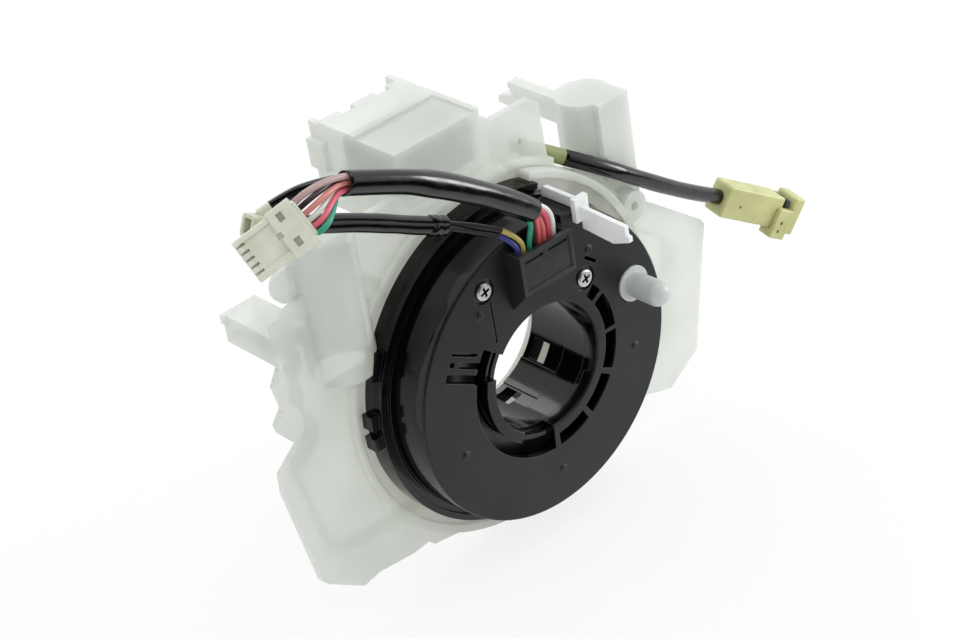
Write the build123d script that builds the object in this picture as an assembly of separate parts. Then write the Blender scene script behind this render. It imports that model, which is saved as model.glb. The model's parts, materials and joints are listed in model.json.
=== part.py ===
from build123d import *
from math import asin, cos, degrees, hypot, radians, sin, tan
import os

# Steering clock spring with the moulded bracket that carries it.
# Y runs along the steering axis, from the driver's side (-Y) to the column (+Y), and Z is up.
# The origin is on the axis, at the rear end of the column collar.
# Places along the axis are given as depths behind the rotor's front face.

# Rotor cover: a dished moulding with a slotted face
face_radius = 49.0
face_thickness = 2.2
skirt_depth = 12.7
skirt_flare = 0.9
skirt_wall = 1.5
bore_radius = 20.6
lip_wall = 1.6
lip_depth = 5.2
slot_ring_inner = 24.2
slot_ring_width = 4.5
slot_angles = [(31, 40), (0.5, 28), (-29, -2), (-59, -33), (-89, -63)]
long_slot_angles = (-201, -93)
bore_break_angles = (-127, -93)
comb_angle = 150.0
comb_window_angles = (140, 162)
comb_window_radius = 29.5
comb_bars = [(31.1, 41.5, -3.3, 1.1), (29.0, 37.3, 0.0, 2.1), (28.9, 41.2, 4.15, 2.8)]
dimple_ring_inset = 11.7
dimple_radius = 1.6
dimple_height = 0.45
edge_round = 0.8

# Hub and rear sleeve: the tube through the middle
hub_wall = 3.0
hub_length = 11.8
sleeve_radius = 23.0
sleeve_wall = 2.0
case_collar_length = 7.6
retainer_height = 1.9
retainer_thickness = 1.4
key_angles = (-75, -47)
window_angles = [(-45, -27), (-93, -77)]
window_end_margin = 1.0

# Stator case and the wound flat cable
case_play = 0.7
case_wall = 1.6
case_front = 3.4
flange_width = 7.1
skirt_to_flange = 0.4
flange_thickness = 1.8
floor_thickness = 2.0
seat_depth = 20.3
groove_inset = 2.7
groove_width = 1.5
groove_depth = 1.0
cutback_angles = (-6, 71)
cutback_step = 3.6
lugs = [(156.0, 9.0), (174.5, 4.6), (182.0, 4.4), (262.0, 9.0)]
lug_height = 2.7
ribbon_thickness = 0.5
ribbon_pitch = 3.0
sheet_thickness = 0.3

# Connector block on the face, and what fastens it
block_left = -9.3
block_width = 20.4
block_slot_margin = 1.3
block_rim_margin = 4.1
block_height = 6.3
label_rise = 6.4
block_wall = 1.6
carrier_thickness = 1.9
upper_screw_left, upper_screw_inset = -19.1, 12.1
lower_screw_place = (19.1, 21.7)
screw_radius = 1.2
screw_length = 6.2
screw_head_radius = 2.8
screw_head_height = 1.5
counterbore_radius = 4.0
counterbore_depth = 0.9
pilot_boss_radius = 2.9
pilot_boss_length = 2.0

# Locating pin
pin_inset, pin_rise = 11.1, 10.2
pin_radius = 4.05
pin_flange_radius = 5.75
pin_flange_thickness = 1.6
pin_length = 15.4
pin_recess_depth = 1.0
pin_stem_radius = 2.4

# Transport strip and its guide
strip_left = 17.5
strip_thickness = 1.5
strip_sunk = 2.0
strip_proud = 1.4
strip_step = 3.4
strip_front = -23.4
strip_rear = 12.4
guide_proud = 2.0
guide_wall = 1.7
guide_rear = 12.5

# Bracket
plate_thickness = 2.5
ring_wall_width = 3.3
ring_wall_height = 6.3
shelf_height = 4.1
seat_disc_width = 6.1
low_ring_height = 2.1
collar_length = 15.7
collar_play = 0.44
collar_wall = 2.5
collar_bore_length = 6.0
wall = 2.0
hood_left, hood_right = -26.8, 5.4
hood_seat_margin = 0.8
hood_height = 18.0
hood_length = 34.7
hood_prong = 4.5
hood_step_start = 17.7
hood_step_height = 0.9
hood_tab_height = 9.3
hood_tab_length = 7.5
roof_notch_depth = 2.6
tower_x, tower_depth = -55.8, 3.0
tower_radius = 10.4
tower_bottom, tower_top = 22.0, 68.0
tower_round = 3.0
ear_radius = 5.5
ear_place = (-68.0, 56.5)
post_x, post_depth = 55.2, 10.7
post_radius = 9.2
post_right = 63.8
post_bottom, post_top = 19.6, 59.1
arm_length = 36.7
arm_height = 8.5
arm_flange = 4.0
arm_fork = 5.5
wing_left = -78.4
wing_top = 50.0
lever_socket_bottom = 35.1
lever_socket_height = 9.5
lever_socket_width = 12.0
lever_socket_length = 24.7
boss_place = (55.2, 24.2)
boss_radius = 5.0
boss_hole_radius = 1.5
rib_inset = 9.0
rib_height = 7.0
rib_wall = 1.6
clip_width, clip_height, clip_depth = 6.5, 10.0, 10.2
clip_place = (20.25, 57.5)
small_hole_place = (18.8, 62.0)
small_hole_radius = 0.8

# Harness socket in the hood
header_length = 24.0
header_height = 13.0
header_side_gap = 0.3
header_pin_count = 8
header_pin_pitch = 2.5

# Leads and their plugs
wire_diameter = 1.6
signal_diameter = 7.4
horn_diameter = 5.2
link_diameter = 3.0
airbag_diameter = 5.2
gap = 0.3
running_gap = 0.06
seat_gap = 0.05

collar_end = seat_depth + collar_length
face_y = -collar_end
case_radius = face_radius - skirt_wall - case_play
case_inner = case_radius - case_wall
flange_radius = case_radius + flange_width
flange_front = skirt_depth + skirt_to_flange
groove_radius = flange_radius - groove_inset
cutback_radius = flange_radius - cutback_step
sleeve_rear = seat_depth + case_collar_length + gap
window_depths = (seat_depth + 0.2, sleeve_rear - window_end_margin)
ring_wall_radius = flange_radius + ring_wall_width
ring_wall_front = seat_depth - ring_wall_height
seat_disc_radius = flange_radius + seat_disc_width
hood_rear = seat_depth + hood_length
lever_socket_rear = seat_depth + lever_socket_length
skirt_radius = face_radius + skirt_flare
slot_ring_outer = slot_ring_inner + slot_ring_width
dimple_ring_radius = face_radius - dimple_ring_inset
block_bottom = slot_ring_inner + block_slot_margin
block_top = face_radius - block_rim_margin
label_bottom = block_bottom + label_rise
screw_places = [(upper_screw_left, face_radius - upper_screw_inset), lower_screw_place]
pin_place = (face_radius - pin_inset, pin_rise)
strip_low = face_radius - strip_sunk
strip_high = face_radius + strip_proud
guide_top = face_radius + guide_proud
hood_bottom = seat_disc_radius + hood_seat_margin
hood_top = hood_bottom + hood_height
lip_radius = bore_radius + lip_wall
hub_radius = bore_radius + hub_wall
hub_rear = face_thickness + hub_length
plate_rear = seat_depth + plate_thickness
floor_front = seat_depth - floor_thickness
core_radius = max(hub_radius, sleeve_radius)
case_bore = sleeve_radius + running_gap
case_collar_radius = case_bore + case_wall + 0.9
collar_radius = case_collar_radius + collar_play
case_seat_radius = flange_radius + gap
block_right = block_left + block_width
strip_right = strip_left + strip_thickness
carrier_rear = face_thickness + carrier_thickness
front_sheet = carrier_rear + pilot_boss_length + 0.2
rear_sheet = floor_front - 0.1 - sheet_thickness
ribbon_front = front_sheet + sheet_thickness + 0.4
ribbon_rear = rear_sheet - gap
tower_place = (tower_x, seat_depth + tower_depth)
post_place = (post_x, seat_depth + post_depth)
os.makedirs("parts", exist_ok=True)


def at(depth):
    return face_y + depth


def polar(radius, angle):
    return (radius * cos(radians(angle)), radius * sin(radians(angle)))


def turned(points):
    outline = Polyline(*[(r, at(depth)) for r, depth in points], close=True)
    return revolve(make_face(outline), Axis.Y)


def ring(inner, outer, front, rear):
    return turned([(inner, front), (outer, front), (outer, rear), (inner, rear)])


def slab(sketch, front, rear):
    """A sketch in X and Z, given thickness from one depth to another."""
    plane = Plane.XZ.offset(-at(rear))
    return extrude(plane * sketch, rear - front)


def rod(radius, front, rear, place=(0, 0)):
    return slab(Pos(*place) * Circle(radius), front, rear)


def bar(x0, x1, front, rear, z0, z1):
    return Pos((x0 + x1) / 2, at((front + rear) / 2), (z0 + z1) / 2) * Box(x1 - x0, rear - front, z1 - z0)


def side_profile(points, x0, x1):
    """An outline of depths and heights, extruded along X."""
    outline = Polyline(*[(at(depth), z) for depth, z in points], close=True)
    return extrude(Plane.YZ.offset(x0) * make_face(outline), x1 - x0)


def upright(sketch, z0, z1):
    """A sketch in X and depth, extruded upwards."""
    return extrude(Pos(0, face_y, z0) * sketch, z1 - z0)


def sector(inner, outer, start, end):
    outer_arc = CenterArc((0, 0), outer, start, end - start)
    inner_arc = CenterArc((0, 0), inner, start, end - start)
    ends = [Line(outer_arc @ 0, inner_arc @ 0), Line(outer_arc @ 1, inner_arc @ 1)]
    return make_face([outer_arc, inner_arc, *ends])


def stadium(start, end, radius):
    dx, dz = end[0] - start[0], end[1] - start[1]
    middle = Pos((start[0] + end[0]) / 2, (start[1] + end[1]) / 2)
    turn = degrees(asin(dz / hypot(dx, dz))) * (1 if dx >= 0 else -1)
    return middle * SlotCenterToCenter(hypot(dx, dz), 2 * radius, rotation=turn)


def polygon(points):
    return make_face(Polyline(*points, close=True))


def front_circles(solid, count=1):
    circles = solid.edges().filter_by(GeomType.CIRCLE)
    return circles.group_by(Axis.Y)[0].sort_by(SortBy.RADIUS)[-count:]


def make_rotor_cover():
    inner_skirt = face_radius - skirt_wall
    cover = turned([
        (bore_radius, 0), (face_radius, 0), (skirt_radius, skirt_depth),
        (skirt_radius - skirt_wall, skirt_depth), (inner_skirt, face_thickness),
        (lip_radius, face_thickness), (lip_radius, lip_depth), (bore_radius, lip_depth),
    ])
    cover = fillet(front_circles(cover, 2), edge_round)
    # Slots around the hub; the long one runs into the bore for part of its length
    cuts = [sector(slot_ring_inner, slot_ring_outer, a, b) for a, b in slot_angles + [long_slot_angles]]
    for cut in cuts:
        cover -= slab(cut, -1, face_thickness + 0.01)
    cover -= slab(sector(bore_radius - 1, slot_ring_inner + 0.1, *bore_break_angles), -1, lip_depth + 1)
    # Comb of sight slots beside the bore
    window = sector(bore_radius - 1, comb_window_radius, *comb_window_angles)
    cover -= slab(window, -1, lip_depth + 1)
    for near, far, across, width in comb_bars:
        finger = Rot(0, 0, comb_angle) * Pos((near + far) / 2, across) * Rectangle(far - near, width)
        cover -= slab(finger, -1, face_thickness + 0.01)
    sight_hole = polar(dimple_ring_radius + 2.9, comb_angle)
    cover -= rod(1.0, -1, face_thickness + 0.01, sight_hole)
    cover -= slab(stadium((-17.4, 18.6), (-17.4, 32.6), 0.35), -1, 0.7)
    # Window for the connector block, counterbores and the pin's recess
    window_width = block_width + 2 * seat_gap
    window_height = block_top - block_bottom + 2 * seat_gap
    block_centre = (block_left + block_width / 2, (block_top + block_bottom) / 2)
    cover -= slab(Pos(*block_centre) * Rectangle(window_width, window_height), -1, face_thickness + 0.01)
    for place in screw_places:
        cover -= rod(counterbore_radius, -1, counterbore_depth, place)
        cover -= rod(screw_radius + 0.4, 0, face_thickness + 0.01, place)
    screw_angle = 48.6
    cover -= slab(sector(34.2, 35.4, screw_angle - 3, screw_angle + 6), -1, face_thickness + 0.01)
    cover -= rod(pin_flange_radius + gap, -1, pin_recess_depth, pin_place)
    cover -= rod(pin_stem_radius + seat_gap, 0, face_thickness + 0.01, pin_place)
    # Raised dimples
    for step in range(5):
        x, z = polar(dimple_ring_radius, 54 + 72 * step)
        dimple = Pos(x, at(-dimple_height / 2), z) * Rot(90, 0, 0)
        cover += dimple * Cone(dimple_radius, dimple_radius * 0.6, dimple_height)
    # Guide channel for the transport strip, on the top of the skirt
    root = face_radius - 3.2
    guide_left = strip_left - seat_gap - guide_wall
    guide = bar(guide_left, guide_left + guide_wall, -2.0, guide_rear, root - 1, guide_top)
    far_lip = bar(strip_right + seat_gap, strip_right + seat_gap + guide_wall, 0.5, guide_rear,
                  strip_low - 3.0, face_radius - 0.4)
    housing = bar(block_right + 0.4, guide_left + 0.1, -2.0, 0.4, root - 1, guide_top - 1.2)
    shoulder = bar(block_right + 0.4, guide_left + 0.1, 0.3, guide_rear, root, guide_top - 1.2)
    body = rod(face_radius - skirt_wall - 0.3, face_thickness, guide_rear + 1)
    cover = cover + ((guide + far_lip + shoulder) - body) + housing
    # What the slots cut free around the bore stands on the hub
    pieces = cover.solids().sort_by(SortBy.VOLUME)
    return pieces[-1], pieces[:-1]


def make_rotor_hub(islands):
    seat = lip_radius + seat_gap
    hub = turned([
        (seat, face_thickness), (hub_radius, face_thickness), (hub_radius, hub_rear),
        (bore_radius, hub_rear), (bore_radius, lip_depth + seat_gap), (seat, lip_depth + seat_gap),
    ])
    for island in islands:
        hub += island
    return hub


def make_rear_sleeve():
    retainer = sleeve_radius + retainer_height
    rear = sleeve_rear + retainer_thickness
    sleeve = turned([
        (sleeve_radius - sleeve_wall, hub_rear), (sleeve_radius, hub_rear), (sleeve_radius, sleeve_rear),
        (retainer, sleeve_rear), (retainer - 0.6, rear), (sleeve_radius - sleeve_wall, rear),
    ])
    inner = sleeve_radius - sleeve_wall
    sleeve += slab(sector(bore_radius, inner + 0.3, *key_angles), hub_rear, rear)
    for start, end in window_angles:
        sleeve -= slab(sector(inner - 2, sleeve_radius + 1, start, end), *window_depths)
    return sleeve


def make_stator_case():
    case = turned([
        (case_inner, case_front), (case_radius, case_front), (case_radius, flange_front),
        (flange_radius, flange_front), (flange_radius, seat_depth), (flange_radius - case_wall, seat_depth),
        (flange_radius - case_wall, flange_front + flange_thickness),
        (case_radius, flange_front + flange_thickness), (case_radius, seat_depth),
        (case_collar_radius, seat_depth), (case_collar_radius, sleeve_rear - gap),
        (case_bore, sleeve_rear - gap), (case_bore, floor_front - 0.6), (case_bore + case_wall, floor_front - 0.6),
        (case_bore + case_wall, floor_front), (case_inner, floor_front),
    ])
    groove = ring(groove_radius - groove_width / 2, groove_radius + groove_width / 2,
                  flange_front - 1, flange_front + groove_depth)
    case -= groove
    case -= slab(sector(cutback_radius, flange_radius + 2, *cutback_angles), flange_front - 1, seat_depth + 1)
    # A web closes the flange where it is cut back
    web = slab(sector(case_radius - 0.1, cutback_radius, *cutback_angles), flange_front, seat_depth)
    case += web
    for angle, width in lugs:
        lug = Rot(0, 0, angle) * Pos(flange_radius + lug_height / 2 - 0.5, 0) * Rectangle(lug_height + 1, width)
        case += slab(lug, flange_front + 1.2, seat_depth - 1.6)
    return case


def make_ribbon():
    """Half-turn arcs, whose centres swap sides so that each one runs on into the next."""
    shift = ribbon_pitch / 4
    start = core_radius + gap + ribbon_thickness / 2
    ribbon_turns = int((case_inner - 2 * gap - ribbon_thickness - core_radius) / ribbon_pitch)
    edges = []
    for side in (-1, 1):
        for half in range(2 * ribbon_turns):
            centre = (shift if half % 2 else -shift, 0)
            radius = start + half * ribbon_pitch / 2 + side * ribbon_thickness / 2 + shift
            edges.append(CenterArc(centre, radius, 180 * (half % 2), 180))
    first, last = edges[0], edges[2 * ribbon_turns - 1]
    inner, outer = edges[2 * ribbon_turns], edges[-1]
    edges += [Line(first @ 0, inner @ 0), Line(last @ 1, outer @ 1)]
    return slab(make_face(edges), ribbon_front, ribbon_rear)


def make_connector_block():
    body = side_profile([
        (-block_height, label_bottom), (-block_height, block_top), (face_thickness, block_top),
        (face_thickness, block_bottom), (0, block_bottom),
    ], block_left, block_right)
    # Wire chamber, open at the top
    body -= bar(block_left + block_wall, block_right - block_wall, block_wall - block_height, 1.2,
                label_bottom + 1.5, block_top + 1)
    # Label field, sunk inside a narrow border, and two slots above it
    middle_x = (block_left + block_right) / 2
    border = 1.0
    field = Pos(middle_x, (label_bottom + block_top) / 2) * Rectangle(
        block_width - 2 * border, block_top - label_bottom - 2 * border)
    body -= slab(field, -block_height - 1, -block_height + 0.4)
    for side in (-1, 1):
        slot = Pos(middle_x + side * block_width / 4.3, block_top - 2.6) * Rectangle(block_width * 0.37, 1.1)
        body -= slab(slot, -block_height - 1, -block_height + 1.3)
    # Carrier behind the face, with an ear and a pilot boss for each screw
    plate = Pos(middle_x, (block_top + block_bottom) / 2) * Rectangle(block_width, block_top - block_bottom)
    for place in screw_places:
        foot = (middle_x, place[1] + 0.25 * (block_top - place[1]))
        plate += stadium(place, foot, pilot_boss_radius + 0.6)
    plate &= Circle(case_inner - gap) - Circle(slot_ring_inner + gap)
    body += slab(plate, face_thickness, carrier_rear)
    for place in screw_places:
        body += rod(pilot_boss_radius, carrier_rear - 0.1, carrier_rear + pilot_boss_length, place)
        body -= rod(screw_radius + seat_gap, 0, carrier_rear + pilot_boss_length + 1, place)
    return body


def make_screw(place):
    head_top = counterbore_depth - screw_head_height
    screw = rod(screw_head_radius, head_top, counterbore_depth, place)
    screw = fillet(front_circles(screw), 0.7)
    screw += rod(screw_radius, counterbore_depth - 0.1, screw_length - 0.4, place)
    for turn in (0, 90):
        recess = Pos(*place) * Rot(0, 0, turn + 14) * Rectangle(3.4, 0.8)
        screw -= slab(recess, head_top - 1, head_top + 0.9)
    return screw


def make_locating_pin():
    seat = pin_recess_depth
    tip = seat - pin_length
    dome = Sphere(pin_radius)
    x, z = pin_place
    pin = rod(pin_radius, tip + pin_radius, seat, pin_place) + Pos(x, at(tip + pin_radius), z) * dome
    pin += rod(pin_flange_radius, seat - pin_flange_thickness, seat, pin_place)
    return pin + rod(pin_stem_radius, seat - 0.1, face_thickness + 1.2, pin_place)


def make_transport_strip():
    step = strip_low - strip_step
    heel, nose = -4.2, strip_front + 1.2
    strip = side_profile([
        (strip_rear, strip_low), (strip_rear, strip_high - 1.2), (strip_rear - 1.2, strip_high), (-1.0, strip_high),
        (-1.0, strip_high - 1.9), (nose, strip_low + 0.4), (nose, step + 1.0), (strip_front, step + 0.6),
        (strip_front, step - 1.0), (nose + 5.6, step - 3.5), (heel, step - 2.4), (heel, step), (-gap, step),
        (-gap, strip_low),
    ], strip_left, strip_right)
    cross = bar(strip_left - 1.9, strip_right + 1.9, heel, -gap - 2.0, step, strip_high + 0.9)
    rib = bar(strip_right - 0.1, strip_right + 0.8, nose + 2.2, heel + 0.2, step + 0.4, step + 1.4)
    return strip + cross + rib


def make_plate_outline():
    left_wing = polygon([
        (wing_left, wing_top), (wing_left, lever_socket_bottom), (-81.6, 30.2), (-80.3, 22.2), (-83.7, 18.2), (-83.1, 15.2),
        (-78.1, 8.7), (-86.0, 2.5), (-86.4, -4.2), (-80.4, -39.7), (-78.5, -41.8), (-66.6, -50.2),
        (-60.2, -49.0), (-46.5, -50.4), (-40.4, -49.9), (-38.3, -52.1), (-18.9, -55.4), (-10, 0),
        (-30, 50), (-57, wing_top + 4),
    ])
    right_wing = polygon([
        (50, 22), (post_right, 20.4), (88.6, 0.9), (90.2, -1.4), (87.8, -12.2), (80.8, -45.1), (67.1, -53.3),
        (44, -46), (10, 0),
    ])
    top = polygon([
        (hood_left, 40), (hood_left, hood_top), (hood_right, hood_top), (hood_right, hood_top - 2.0), (10.1, hood_top - 5.4),
        (24.9, hood_top - 5.4), (28.0, hood_top - 7.8), (28.6, 50), (10, 40),
    ])
    shoulder = polygon([(-60, 40), (-57, 66), (hood_left + 1, 66), (hood_left + 1, 40)])
    return left_wing, right_wing, top, shoulder


def make_bracket():
    wings = make_plate_outline()
    outline = Circle(seat_disc_radius)
    for area in wings:
        outline += area
    bracket = slab(outline, seat_depth, plate_rear)
    # Stiffening ribs behind the wings
    for area in wings[:2]:
        rib = offset(area, -rib_inset) - offset(area, -rib_inset - rib_wall)
        bracket += slab(rib - Circle(collar_radius + collar_wall + 2), plate_rear - 0.1, plate_rear + rib_height)
    # Seat for the stator case: a low ring, a tall wall on the cut-back side and a shelf inside it
    bracket += ring(ring_wall_radius + 0.2, seat_disc_radius, seat_depth - low_ring_height, seat_depth + 0.1)
    tall = sector(case_seat_radius + 0.4, ring_wall_radius, cutback_angles[0] - 62, cutback_angles[1] + 3)
    bracket += slab(tall, ring_wall_front, seat_depth + 0.1)
    shelf_radius = cutback_radius + 0.4
    shelf = sector(shelf_radius, ring_wall_radius - 0.5, cutback_angles[0] + 0.6, cutback_angles[1] - 0.6)
    bracket += slab(shelf, seat_depth - shelf_height, seat_depth + 0.1)
    # Hood over the harness sockets
    hood = bar(hood_left, hood_right, seat_depth, hood_rear, hood_bottom, hood_top)
    prong_rear = hood_rear + hood_prong
    hood += bar(hood_left, hood_left + wall, seat_depth, prong_rear, hood_bottom - 9, hood_top)
    hood += bar(hood_right - wall, hood_right, seat_depth, prong_rear, hood_bottom, hood_top + hood_step_height)
    tab_bottom = (hood_bottom + hood_top - hood_tab_height) / 2 - 0.65
    hood += bar(hood_left - wall, hood_left + 0.1, prong_rear - hood_tab_length, prong_rear,
                tab_bottom, tab_bottom + hood_tab_height)
    hood += bar(hood_left, hood_right, seat_depth + hood_step_start, hood_rear,
                hood_top - 0.1, hood_top + hood_step_height)
    for share in (0.24, 0.66):
        notch_left = hood_left + share * (hood_right - hood_left)
        hood -= bar(notch_left, notch_left + 5.0, hood_rear - roof_notch_depth, hood_rear + 1, hood_top - wall - 1,
                    hood_top + 2)
    hood -= bar(hood_left + wall, hood_right - wall, plate_rear, hood_rear + 10, hood_bottom + wall, hood_top - wall)
    hood -= bar(hood_left + wall, hood_right - wall, hood_rear, hood_rear + 10, hood_bottom - 5, hood_top + 5)
    bracket += hood
    bracket += bar(hood_left, 7.0, ring_wall_front, seat_depth + 0.1, hood_bottom - 2.2, hood_bottom - 0.4)
    # Round tower on the left
    tower = upright(Pos(*tower_place) * Circle(tower_radius), tower_bottom, tower_top)
    tower = fillet(tower.edges().filter_by(GeomType.CIRCLE).sort_by(Axis.Z)[-1:], tower_round)
    bracket += tower
    bracket += rod(ear_radius, tower_place[1], tower_place[1] + wall, ear_place)
    bracket -= upright(Pos(*tower_place) * Circle(tower_radius - wall), tower_bottom - 1, tower_top - wall)
    # Square-cornered post on the right
    front_edge = seat_depth
    flat = Pos((post_place[0] + post_right) / 2 - 2, (front_edge + post_place[1]) / 2) * Rectangle(
        post_right - post_place[0] + 4, post_place[1] - front_edge)
    post = Pos(*post_place) * Circle(post_radius) + flat
    bracket += upright(post, post_bottom, post_top)
    bracket -= upright(offset(post, -wall), post_bottom - 1, post_top - wall)
    arm_left = post_place[0] - post_radius + 1.5
    arm_front = post_place[1] + post_radius * 0.55
    arm_rear = seat_depth + arm_length
    arm_bottom = post_top - arm_height
    arm = side_profile([
        (arm_front, post_top), (arm_rear, post_top), (arm_rear - 1.5, post_top - 4.2),
        (arm_rear + arm_fork - 1.0, arm_bottom + 2.8), (arm_rear + arm_fork, arm_bottom), (arm_front, arm_bottom),
    ], arm_left, arm_left + wall)
    arm += bar(arm_left, arm_left + arm_flange, arm_front, arm_rear, post_top - wall, post_top)
    arm += bar(arm_left, arm_left + arm_flange + 1, arm_front, arm_rear + arm_fork, arm_bottom, arm_bottom + wall)
    bracket += arm
    # Lever socket on the left, open at the rear
    socket_right = wing_left + lever_socket_width
    socket_top = lever_socket_bottom + lever_socket_height
    bracket += bar(wing_left, socket_right, seat_depth, lever_socket_rear, lever_socket_bottom, socket_top)
    bracket += bar(wing_left - 0.8, wing_left + 0.1, lever_socket_rear - 2.0, lever_socket_rear,
                   socket_top - 3.0, socket_top)
    bracket -= bar(wing_left + wall, socket_right - wall, plate_rear, lever_socket_rear + 1,
                   lever_socket_bottom + wall, socket_top - wall)
    # Screw boss, lead clip and column collar
    bracket += rod(boss_radius, ring_wall_front, seat_depth + 0.1, boss_place)
    bracket += rod(boss_radius, plate_rear - 0.1, plate_rear + 6, boss_place) - upright(
        offset(post, -wall), post_bottom - 1, post_top - wall)
    clip_x, clip_z = clip_place
    bracket += bar(clip_x - clip_width / 2, clip_x + clip_width / 2, plate_rear - 0.1, plate_rear + clip_depth,
                   clip_z - clip_height / 2, clip_z + clip_height / 2)
    bracket += ring(collar_radius, collar_radius + collar_wall, seat_depth, collar_end)
    # Bores and clearances last, so that nothing reaches into them
    bracket -= rod(boss_hole_radius, ring_wall_front - 1, plate_rear, boss_place)
    bracket -= rod(small_hole_radius, seat_depth - 1, plate_rear + 0.1, small_hole_place)
    # Socket of the airbag lead, and a notch that lets it past the rim of the seat
    bracket -= entry(root_points[::-1], airbag_diameter)
    bracket -= slab(stadium((32.0, 51.0), (50.0, 38.8), airbag_diameter / 2 + 0.4), ring_wall_front, plate_rear + 1)
    inner_bore = collar_radius + 0.8
    bracket -= rod(inner_bore, seat_depth - 1, collar_end - collar_bore_length)
    bracket -= rod(collar_radius, seat_depth - 1, collar_end + 1)
    full_circle_seat = Circle(case_seat_radius) - sector(
        shelf_radius - 0.1, case_seat_radius + 1, cutback_angles[0] + 0.6, cutback_angles[1] - 0.6)
    bracket -= slab(full_circle_seat, flange_front - 3, seat_depth)
    for angle, width in lugs:
        notch = Rot(0, 0, angle) * Pos(flange_radius + lug_height / 2, 0) * Rectangle(
            lug_height + 2.2, width + 2 * gap)
        bracket -= slab(notch, flange_front - 3, seat_depth)
    return bracket


def make_header():
    x0, x1 = hood_left + wall + header_side_gap, hood_right - wall - header_side_gap
    z0 = hood_bottom + wall
    header_front = plate_rear + gap
    rear = header_front + header_length
    body = bar(x0, x1, header_front, rear, z0, z0 + header_height)
    middle = (x0 + x1) / 2
    body -= bar(x0 + wall, middle - wall / 2, header_front + 6, rear + 1, z0 + wall, z0 + header_height - wall)
    body -= bar(middle + wall / 2, x1 - wall, header_front + 6, rear + 1, z0 + wall, z0 + header_height - wall)
    # Latch ramps on the roof of each mouth
    for x in ((x0 + middle) / 2, (x1 + middle) / 2):
        body += bar(x - 1.5, x + 1.5, rear - 5, rear - 3, z0 + header_height - wall - 1.0, z0 + header_height - 0.5)
    pins = []
    for centre in ((x0 + middle) / 2, (x1 + middle) / 2):
        for column in range(header_pin_count // 2):
            for row in (-1, 1):
                x = centre + (column - (header_pin_count / 2 - 1) / 2) * header_pin_pitch
                z = z0 + header_height / 2 + row * 1.7
                pins.append(bar(x - 0.32, x + 0.32, header_front + 6, rear - 8, z - 0.32, z + 0.32))
    return body, pins


def rounded_path(places):
    """Straight runs joined by arcs, as large as the runs allow, and the radii of the arcs."""
    radii = []
    for before, corner, after in zip(places, places[1:], places[2:]):
        half_turn = radians((corner - before).get_angle(after - corner)) / 2
        radii.append(0.45 * min((corner - before).length, (after - corner).length) / tan(half_turn))
    return FilletPolyline(*places, radius=radii), radii


def route(points, diameter, name):
    """A tube of straight runs joined by arcs, as large as the runs allow."""
    path, radii = rounded_path([Vector(x, at(depth), z) for x, depth, z in points])
    start = Plane(origin=path @ 0, z_dir=path % 0)
    tube = sweep(start * Circle(diameter / 2), path)
    print(name, "length", round(path.length, 1), "radii", [round(r, 1) for r in radii],
          "volume ratio", round(tube.volume / (path.length * Circle(diameter / 2).area), 4))
    return tube


# Routes: X, depth and Z of the points of each lead, in order from the object outwards
signal_points = [
    (0.3, -2.6, 55.2), (-7.2, -3.4, 62.0), (-18.3, -4.2, 70.4), (-31.3, -4.6, 79.6), (-45.6, -4.4, 87.6),
    (-61.4, -3.2, 94.0),
]
horn_points = [
    (-25.9, 3.9, 61.0), (-35.0, 4.4, 65.4), (-46.2, 5.0, 71.6), (-61.0, 5.8, 78.9), (-76.0, 6.9, 84.9),
]
link_points = [(-62.1, -0.3, 94.3), (-67.4, 2.2, 94.7), (-73.4, 4.8, 94.1), (-78.8, 6.5, 92.4)]
root_points = [(22.0, 28.6, 57.4), (30.0, 25.3, 52.3), (36.1, 22.1, 48.26)]
airbag_points = [
    (36.3, 22.0, 48.13), (47.5, 16.1, 40.9), (59.3, 16.2, 31.8), (70.4, 17.0, 23.5), (83.5, 18.6, 14.1),
    (97.1, 19.8, 5.4),
]
signal_plug_centre = (-86.9, -5.0, 89.7)
signal_plug_along = (-0.8515, 0.3411, -0.3947)
signal_plug_facing = (-0.5152, -0.6756, 0.5275)
horn_plug_centre = (-81.5, 7.0, 87.6)
horn_plug_along = (-0.894, 0.0, 0.447)
horn_wires_bend = (-10.2, 1.4, 51.0)
airbag_plug_along = (0.8337, -0.130, -0.5369)
airbag_plug_facing = (-0.11, -0.99, 0.07)


def place_of(point):
    x, depth, z = point
    return Vector(x, at(depth), z)


def piece_frame(point, along, facing):
    return Plane(origin=place_of(point), x_dir=along, z_dir=facing)


def entry(points, diameter):
    """The space that the last stretch of a lead takes at the piece it runs into."""
    last, before = place_of(points[-1]), place_of(points[-2])
    along = Plane(origin=last, z_dir=(last - before).normalized())
    return along * Pos(0, 0, -4.0) * Cylinder(diameter / 2 + seat_gap, 8.0)


def fan(*corners):
    """One short wire through the places that it has in each list."""
    wires = []
    for places in zip(*corners):
        path, radii = rounded_path(places)
        wires.append(sweep(Plane(origin=path @ 0, z_dir=path % 0) * Circle(wire_diameter / 2), path))
    return wires


def bundle(mouth, beyond, count, forward=0.0):
    """Places of the wires just outside a sleeve's mouth, in two staggered rows."""
    mouth, beyond = place_of(mouth), place_of(beyond)
    out = (mouth - beyond).normalized()
    across = out.cross(Vector(0, 1, 0)).normalized()
    centre = mouth + out * 0.85 - Vector(0, forward, 0)
    places = []
    for k in range(count):
        row = 0.95 if k % 2 else -0.95
        places.append(centre + across * (k - (count - 1) / 2) * 1.05 + Vector(0, row, 0))
    return places


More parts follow.
